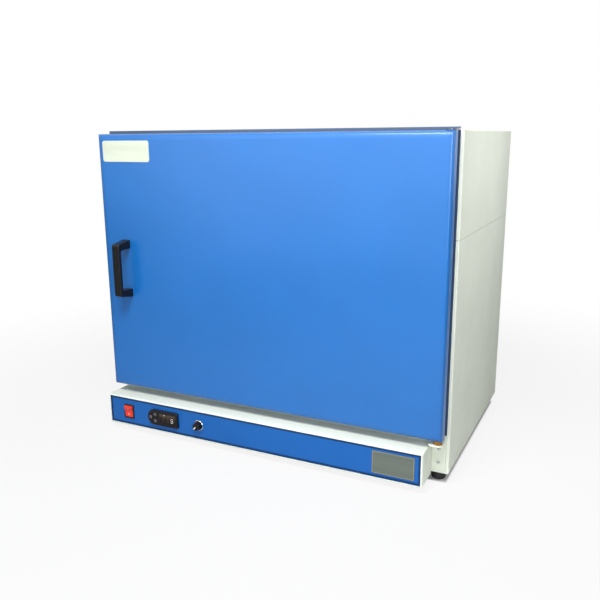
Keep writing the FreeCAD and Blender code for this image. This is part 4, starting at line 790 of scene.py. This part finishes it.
class SterilizerDoor(bpy.types.Operator):
    """Paints the door and finishes its handle, plate and inner panel"""

    bl_idname = "sterilizer.door"
    bl_label = "Door"

    def execute(self, context):
        blue = powder_paint("door enamel", paints().door, 0.29, 0.00003, wave=0.0012,
                            bare=(0.10, 0.16, 0.24), sheen=0.7)
        self.roll(blue)
        dress(blue, "door_pan")
        steel = brushed_metal("brushed liner steel", (0.56, 0.56, 0.545), 0.36, (18.0, 900.0, 900.0))
        dress(steel, "door_inner_panel")
        black = moulded_plastic("handle plastic", shade(fittings().plastic, 0.7), 0.28, 0.00004,
                                gloss=0.3)
        dress(black, "door_handle", "catch_magnets")
        plate = plate_material("white door plate", fittings().door_plate, (0.62, 0.64, 0.58),
                               "door_plate", 0.0022, 0.0004, 0.0, 0.30, (40.0, 300.0, 300.0))
        dress(plate, "door_plate")
        wool = soft_matt("mineral wool", (0.46, 0.38, 0.20), 0.95, 260.0, 0.0008)
        dress(wool, "door_wool", "wool_sides", "wool_slabs", "wool_back")
        return {"FINISHED"}

    def roll(self, material):
        """Lets the door's face fall off towards its folds: its height is -drop t t, t grows outwards."""
        tree = material.node_tree
        shader = tree.nodes["Principled BSDF"]
        centre, half = halves("door_pan")
        edge = use(tree, border_group(), Vector=place(tree), Centre=centre, Half=half)
        reach = minus(tree, ROLL_START, edge["Depth"])
        reach = maths(tree, "MAXIMUM", maths(tree, "DIVIDE", reach, ROLL_WIDTH), 0.0)
        height = times(tree, times(tree, reach, reach), -ROLL_DROP)
        before = shader.inputs["Normal"].links[0].from_socket
        feed(tree, shader.inputs["Normal"], bump(tree, height, 1.0, before))


class SterilizerControls(bpy.types.Operator):
    """Finishes the control panel: fascia, power switch, controller, limiter dial and bare plate"""

    bl_idname = "sterilizer.controls"
    bl_label = "Controls"

    def execute(self, context):
        self.panel()
        self.power_switch()
        self.controller()
        self.dial()
        return {"FINISHED"}

    def panel(self):
        """Fascia with a dark border line of painted recess shade, the housing's front painted dark round
        it, and the bare plate.
        """
        base = paints().fascia
        dark = shade(base, PAINTED_RECESS_SHADE)
        centre, half = halves("control_box")
        blue = powder_paint("fascia enamel", base, 0.32, 0.00003, sheen=0.32)
        tree = blue.node_tree
        line = use(tree, border_group(), Vector=place(tree), Centre=centre,
                   Half=half - Vector((RIM_WIDTH, 0.0, RIM_WIDTH)), Inset=BORDER_INSET,
                   Width=BORDER_WIDTH)
        # Painted shade: the dark line round the fascia's edges stands in for the shade of its recess
        overpaint(blue, line["Line"], dark)
        dress(blue, "fascia")
        made = casing_paint("control box powder coat")
        tree = made.node_tree
        # Painted shade: inside its rim edge the housing's front is painted the same dark, as shade round
        # the recessed fascia
        rim = use(tree, border_group(), Vector=place(tree), Centre=centre, Half=half)
        front = maths(tree, "LESS_THAN", split(tree, place(tree))["Y"], centre.y - half.y + RIM_DEPTH)
        inside = span(tree, rim["Depth"], RIM_EDGE - 0.0003, RIM_EDGE + 0.0003)
        overpaint(made, times(tree, inside, front), dark)
        dress(made, "control_box")
        plate = plate_material("bare silver plate", fittings().plate, (0.33, 0.29, 0.18),
                               "nameplate", 0.0012, 0.0010, 0.45, 0.40, (30.0, 1200.0, 1200.0))
        dress(plate, "nameplate")

    def power_switch(self):
        """Black bezel, and red rocker with its bar and ring marks."""
        dress(moulded_plastic("switch plastic", fittings().plastic, 0.30, 0.00004), "rocker_bezel")
        red = moulded_plastic("red rocker plastic", fittings().rocker, 0.22, wear=0.15, sheen=1.1)
        tree = red.node_tree
        ends = {0: place(tree), 1: halves("rocker")[0]}
        offset = add(tree, "VectorMath", ends, operation="SUBTRACT").outputs[0]
        parts = split(tree, offset)
        aside = maths(tree, "ABSOLUTE", parts["X"])
        from_bar = maths(tree, "ABSOLUTE", minus(tree, parts["Z"], MARK_HEIGHT))
        bar = times(tree, maths(tree, "LESS_THAN", aside, MARK_LINE),
                    maths(tree, "LESS_THAN", from_bar, BAR_REACH))
        over_ring = plus(tree, parts["Z"], MARK_HEIGHT)
        squares = plus(tree, times(tree, aside, aside), times(tree, over_ring, over_ring))
        reach = maths(tree, "SQRT", squares)
        off_ring = maths(tree, "ABSOLUTE", minus(tree, reach, RING_RADIUS))
        ring = maths(tree, "LESS_THAN", off_ring, MARK_LINE)
        overpaint(red, plus(tree, bar, ring, True), (0.82, 0.72, 0.66))
        dress(red, "rocker")

    def controller(self):
        """Black housing, smoked window with seven-bar digits and a painted highlight on its upper half,
        and grey keys with their marks.
        """
        black = moulded_plastic("controller plastic", fittings().plastic, 0.30, 0.00002, gloss=0.22)
        dress(black, "controller_housing")
        smoked, tree, shader, vector = new_material("smoked window")
        low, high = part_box("controller_window")
        cloud = noise(tree, vector, 90.0, 3.0)
        tall = split(tree, vector)["Z"]
        # Painted highlight: the window's colour goes from near black at its middle to a pale brown at
        # its top
        pale = span(tree, tall, (low.z + high.z) / 2 - 0.001, high.z - 0.002)
        window_painted_highlight = blend(tree, pale, (0.008, 0.004, 0.003, 1.0), (0.075, 0.052, 0.038, 1.0))
        clouded = blend(tree, times(tree, cloud, 0.2), window_painted_highlight, BLACK)
        rough = span(tree, cloud, 0.3, 0.7, 0.08, 0.16)
        connect(tree, shader, {"Base Color": clouded, "Roughness": rough, "Specular IOR Level": 0.3})
        dress(smoked, "controller_window")
        keys = moulded_plastic("key plastic", fittings().keys, 0.30, wear=0.1, sheen=1.1)
        dress(keys, "key_set", "key_up", "key_down")
        self.key_marks()
        self.digits()

    def key_marks(self):
        """A ring on the first key, and arrows on the other two."""
        ink = moulded_plastic("key ink", (0.03, 0.03, 0.035), 0.45, wear=0.0)
        for node, body, up in (("key_up", "up_key", 1.0), ("key_down", "down_key", -1.0)):
            centre, half = halves(node)
            centre.y += MARK_SINK - half.y
            piece(node + "_mark", [arrow(centre, KEY_ARROW, up)], body, ink)
        centre, half = halves("key_set")
        centre.y -= half.y
        section = arc_points((KEY_RING_RADIUS, 0.0), MARK_LINE, 0.0, 315.0, 8) * np.array([1.0, 0.3])
        section = np.concatenate([section, section[:1]])
        piece("key_set_mark", [lathe(section, centre, (0.0, -1.0, 0.0), 40)], "set_key",
              ink)

    def digits(self):
        """Three seven-bar digits in the window, one of them lit, and two small lamps over them."""
        low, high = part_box("controller_window")
        lit, tree, shader, vector = new_material("lit bars")
        glow = noise(tree, vector, 500.0, 2.0)
        tone = blend(tree, span(tree, glow, 0.3, 0.7), rgba(shade(fittings().lit, 0.85)),
                     rgba(fittings().lit))
        connect(tree, shader, {"Base Color": tone, "Emission Color": tone, "Emission Strength": 0.35,
                               "Roughness": 0.35})
        unlit = moulded_plastic("unlit bars", fittings().unlit, 0.25, wear=0.0)
        bars = {"lit": [], "unlit": []}
        wide, face = high.x - low.x, low.y + MARK_SINK
        level = (low.z + high.z) / 2 - DIGIT_DROP
        for along, state in DIGIT_SHARES:
            for x, z, half_w, half_h in digit_bars(low.x + wide * along, level):
                bars[state].append(pad((x, face, z), half_w, half_h, BAR_THIN * 0.9))
        for along, state in SPOT_SHARES:
            spot = (low.x + wide * along, face, high.z - SPOT_DROP)
            bars[state].append(pad(spot, SPOT_HALF, SPOT_HALF, SPOT_ROUND))
        piece("display_bars_lit", bars["lit"], "cabinet", lit)
        piece("display_bars_unlit", bars["unlit"], "cabinet", unlit)

    def dial(self):
        """Bright ring and black knob."""
        dress(plated_metal("bright plate", (0.80, 0.80, 0.79), 0.12), "limiter_ring")
        black = moulded_plastic("knob plastic", fittings().plastic, 0.28, gloss=0.25)
        dress(black, "limiter_knob", "limiter_thermostat", "solid_state_relay", "terminal_block")
        centre, half = halves("limiter_knob")
        centre.y -= half.y
        out = np.array([-math.sqrt(0.5), 0.0, -math.sqrt(0.5)])
        ahead = np.array([0.0, -1.0, 0.0])
        lean = np.linspace(90.0, POINTER_LEAN, 8)
        bend = np.radians(lean)
        past_bend = KNOB_TOP - POINTER_BEND + POINTER_BEND * np.cos(bend)
        reach = np.concatenate([POINTER_START, past_bend, [KNOB_FOOT]])
        drop = np.concatenate([[0.0, 0.0], POINTER_BEND * (1 - np.sin(bend)), [POINTER_END]])
        path = np.array(centre) + reach[:, None] * out - drop[:, None] * ahead
        tilt = np.radians(np.concatenate([[90.0, 90.0], lean, [POINTER_LEAN]]))
        normal = np.cos(tilt)[:, None] * out + np.sin(tilt)[:, None] * ahead
        line = moulded_plastic("pointer white", fittings().pointer, 0.30, wear=0.1, sheen=1.05)
        strip = ribbon(path, normal, np.cross(out, ahead), POINTER_HALF, POINTER_RISE, POINTER_SINK)
        piece("limiter_pointer", [strip], "limiter_dial", line)


class SterilizerChamber(bpy.types.Operator):
    """Finishes the chamber, its shelves, heaters, sensors and vent"""

    bl_idname = "sterilizer.chamber"
    bl_label = "Chamber"

    def execute(self, context):
        steel = bpy.data.materials.get("brushed liner steel")
        if steel is None:
            raise RuntimeError("the door's operator makes the steel first")
        dress(steel, "inner_chamber", "floor_plate", "shelf_racks", "heater_saddles")
        wire = plated_metal("bright wire", (0.66, 0.66, 0.66), 0.16)
        dress(wire, "wire_shelf_lower", "wire_shelf_upper")
        sheath = brushed_metal("heater sheath", (0.20, 0.17, 0.16), 0.42, (400.0, 60.0, 400.0),
                               stain=0.5)
        dress(sheath, "heater_elements")
        turned = brushed_metal("turned steel", (0.62, 0.62, 0.60), 0.24, (300.0, 1500.0, 300.0))
        dress(turned, "sensor_sheaths", "vent_tube")
        silicone = soft_matt("silicone", (0.06, 0.06, 0.065), 0.50, 900.0, 0.00002)
        self.seal(silicone)
        dress(moulded_plastic("inlet plastic", fittings().plastic, 0.38, 0.00004), "power_inlet")
        return {"FINISHED"}

    def seal(self, silicone):
        """The door's seal: two soft crowns with a groove between, on a flat foot, round the mouth.

        Its height at w from -1 to 1 across the strip is top (0.86 - 0.14 cos(2 pi w)) (1 - w^8).
        """
        centre, half = halves("door_seal")
        half_strip = SEAL_WIDTH / 2
        top = 2 * half.y
        w = np.linspace(-1.0, 1.0, 29)
        crown = top * (0.86 - 0.14 * np.cos(math.tau * w)) * (1.0 - w ** 8)
        front = np.stack([w * half_strip, -crown], axis=1)
        foot = np.stack([np.linspace(0.7, -0.7, 4) * half_strip, np.zeros(4)], axis=1)
        profile = np.concatenate([front, foot])
        centre.y += half.y
        loop = swept_loop(half.x - half_strip, half.z - half_strip, SEAL_CORNER, centre, profile)
        piece("door_seal_crowned", [loop], "cabinet", silicone,
              ("door_seal",), 60.0)


# Studio: each lamp's name, power setting, place, aim, size in metres and spread in degrees

LAMPS = (
    ("front_softbox", "front_power", (-0.5, -2.3, 1.15), (0.0, 0.0, 0.9), (2.4, 2.2), 180.0),
    ("near_softbox", "near_power", (0.24, -1.0, 1.47), (0.08, -0.3, 0.15), (0.7, 0.5), 150.0),
    ("side_softbox", "side_power", (0.95, 0.0, 0.88), (0.38, 0.02, 0.58), (0.4, 0.4), 120.0),
    ("edge_strip", "edge_power", (1.06, -1.42, 0.66), (0.38, -0.25, 0.55), (0.42, 0.6), 180.0),
    ("back_softbox", "back_power", (-0.4, 2.4, 0.9), (0.0, 0.2, 0.35), (1.8, 1.4), 180.0),
)

# Floor: its radius, the two radii and shares of its melting into the sky, and the dark line that
# starts and ends at these distances from the casing's outline, where the melting has this share

FLOOR_RADIUS = 9.0
FLOOR_MELT = (0.5, 1.6, 0.86, 1.0)
UNDER_REACH = -0.0090
UNDER_END = -0.0035
UNDER_MELT = 0.05


class SterilizerStudio(bpy.types.Operator):
    """Sets the floor, the lamps, the sky and the camera"""

    bl_idname = "sterilizer.studio"
    bl_label = "Studio"

    def execute(self, context):
        settings = context.scene.sterilizer_stage
        context.scene.view_settings.view_transform = "Standard"
        self.floor(settings)
        self.sky(context, settings)
        for name, setting, spot, aim, size, spread in LAMPS:
            self.lamp(name, spot, aim, size, spread, getattr(settings, setting))
        self.camera(context, settings)
        return {"FINISHED"}

    def floor(self, settings):
        """A round floor that melts into the sky far out, and is dark under the casing's outline."""
        radius = np.linspace(0.0, FLOOR_RADIUS, 10)
        profile = np.stack([radius, np.zeros(10)], axis=1)
        points, _, _ = lathe(profile, (0.0, 0.0, 0.0), (0.0, 0.0, 1.0), 64)
        faces = grid_faces(10, 64, False, True, 0)
        mesh = welded("floor", points.reshape(-1, 3), faces, False)
        made = put("floor", mesh)
        material, tree, shader, vector = new_material("pale floor")
        connect(tree, shader, {"Base Color": rgba(settings.floor), "Roughness": 0.9,
                               "Specular IOR Level": 0.1})
        far = add(tree, "VectorMath", {0: vector}, operation="LENGTH").outputs["Value"]
        parts = split(tree, vector)
        centre, half = halves("lower_shell")
        past_x = minus(tree, maths(tree, "ABSOLUTE", parts["X"]), half.x)
        past_y = maths(tree, "ABSOLUTE", minus(tree, parts["Y"], centre.y))
        past = maths(tree, "MAXIMUM", past_x, minus(tree, past_y, half.y))
        under = span(tree, past, UNDER_REACH, UNDER_END, UNDER_MELT, 1.0)
        melt = times(tree, span(tree, far, *FLOOR_MELT), under)
        seen = add(tree, "LightPath").outputs["Is Camera Ray"]
        glow = add(tree, "Emission", {"Color": WHITE, "Strength": 1.0})
        mixed = add(tree, "MixShader", {0: times(tree, seen, melt)})
        tree.links.new(shader.outputs[0], mixed.inputs[1])
        tree.links.new(glow.outputs[0], mixed.inputs[2])
        tree.links.new(mixed.outputs[0], tree.nodes["Material Output"].inputs["Surface"])
        mesh.materials.append(material)

    def sky(self, context, settings):
        """White where it is seen, and a plain even light where it falls on the object."""
        world = context.scene.world or bpy.data.worlds.new("sky")
        context.scene.world = world
        world.use_nodes = True
        tree = world.node_tree
        back = tree.nodes.get("Background") or add(tree, "Background")
        path = add(tree, "LightPath").outputs
        seen = plus(tree, path["Is Camera Ray"], path["Is Glossy Ray"], True)
        seen = plus(tree, seen, path["Is Transmission Ray"], True)
        feed(tree, back.inputs["Color"], WHITE)
        feed(tree, back.inputs["Strength"], span(tree, seen, 0.0, 1.0, settings.sky, 1.0))

    def lamp(self, name, spot, aim, size, spread, energy):
        """An area lamp at a place, aimed at a point, with the angle to which a grid holds its light."""
        data = bpy.data.lights.new(name, "AREA")
        data.shape = "RECTANGLE"
        data.size, data.size_y = size
        data.energy = energy
        data.spread = math.radians(spread)
        made = put(name, data)
        made.location = spot
        made.rotation_mode = "QUATERNION"
        made.rotation_quaternion = (Vector(aim) - Vector(spot)).to_track_quat("-Z", "Y")
        made.visible_camera = False

    def camera(self, context, settings):
        """The camera, from its place, yaw, pitch and roll."""
        yaw, pitch, roll = settings.yaw, settings.pitch, settings.roll
        level = math.cos(pitch)
        ahead = Vector((-math.sin(yaw) * level, math.cos(yaw) * level, math.sin(pitch)))
        right = Vector((math.cos(yaw), math.sin(yaw), 0.0))
        up = right.cross(ahead)
        turned_right = right * math.cos(roll) + up * math.sin(roll)
        turned_up = up * math.cos(roll) - right * math.sin(roll)
        data = bpy.data.cameras.new("camera")
        data.sensor_width = 36.0
        data.lens = settings.lens
        data.clip_start, data.clip_end = 0.05, 50.0
        made = put("camera", data)
        columns = Matrix((turned_right, turned_up, -ahead)).transposed().to_4x4()
        made.matrix_world = Matrix.Translation(Vector(settings.place)) @ columns
        context.scene.camera = made


class SterilizerPanel(bpy.types.Panel):
    """Lists the settings and the steps in the sidebar"""

    bl_idname = "VIEW3D_PT_sterilizer"
    bl_label = "Sterilizer"
    bl_space_type = "VIEW_3D"
    bl_region_type = "UI"
    bl_category = "Sterilizer"

    def draw(self, context):
        for group_name in ("sterilizer_paints", "sterilizer_fittings", "sterilizer_stage"):
            settings = getattr(context.scene, group_name)
            column = self.layout.column(align=True)
            for name in settings.__annotations__:
                column.prop(settings, name)
        for step in STEPS:
            self.layout.operator(step.bl_idname)


GROUPS = {
    "sterilizer_paints": SterilizerPaints,
    "sterilizer_fittings": SterilizerFittings,
    "sterilizer_stage": SterilizerStage,
}
STEPS = (SterilizerCasing, SterilizerDoor, SterilizerControls, SterilizerChamber, SterilizerStudio)


def register():
    """Registers the settings, the steps and the panel."""
    for cls in (*GROUPS.values(), *STEPS, SterilizerPanel):
        bpy.utils.register_class(cls)
    for name, cls in GROUPS.items():
        setattr(bpy.types.Scene, name, PointerProperty(type=cls))


def unregister():
    """Takes the settings, the steps and the panel away again."""
    for name in GROUPS:
        delattr(bpy.types.Scene, name)
    for cls in (SterilizerPanel, *reversed(STEPS), *reversed(GROUPS.values())):
        bpy.utils.unregister_class(cls)


def main():
    register()
    bpy.ops.sterilizer.casing()
    bpy.ops.sterilizer.door()
    bpy.ops.sterilizer.controls()
    bpy.ops.sterilizer.chamber()
    bpy.ops.sterilizer.studio()


if __name__ == "__main__":
    main()
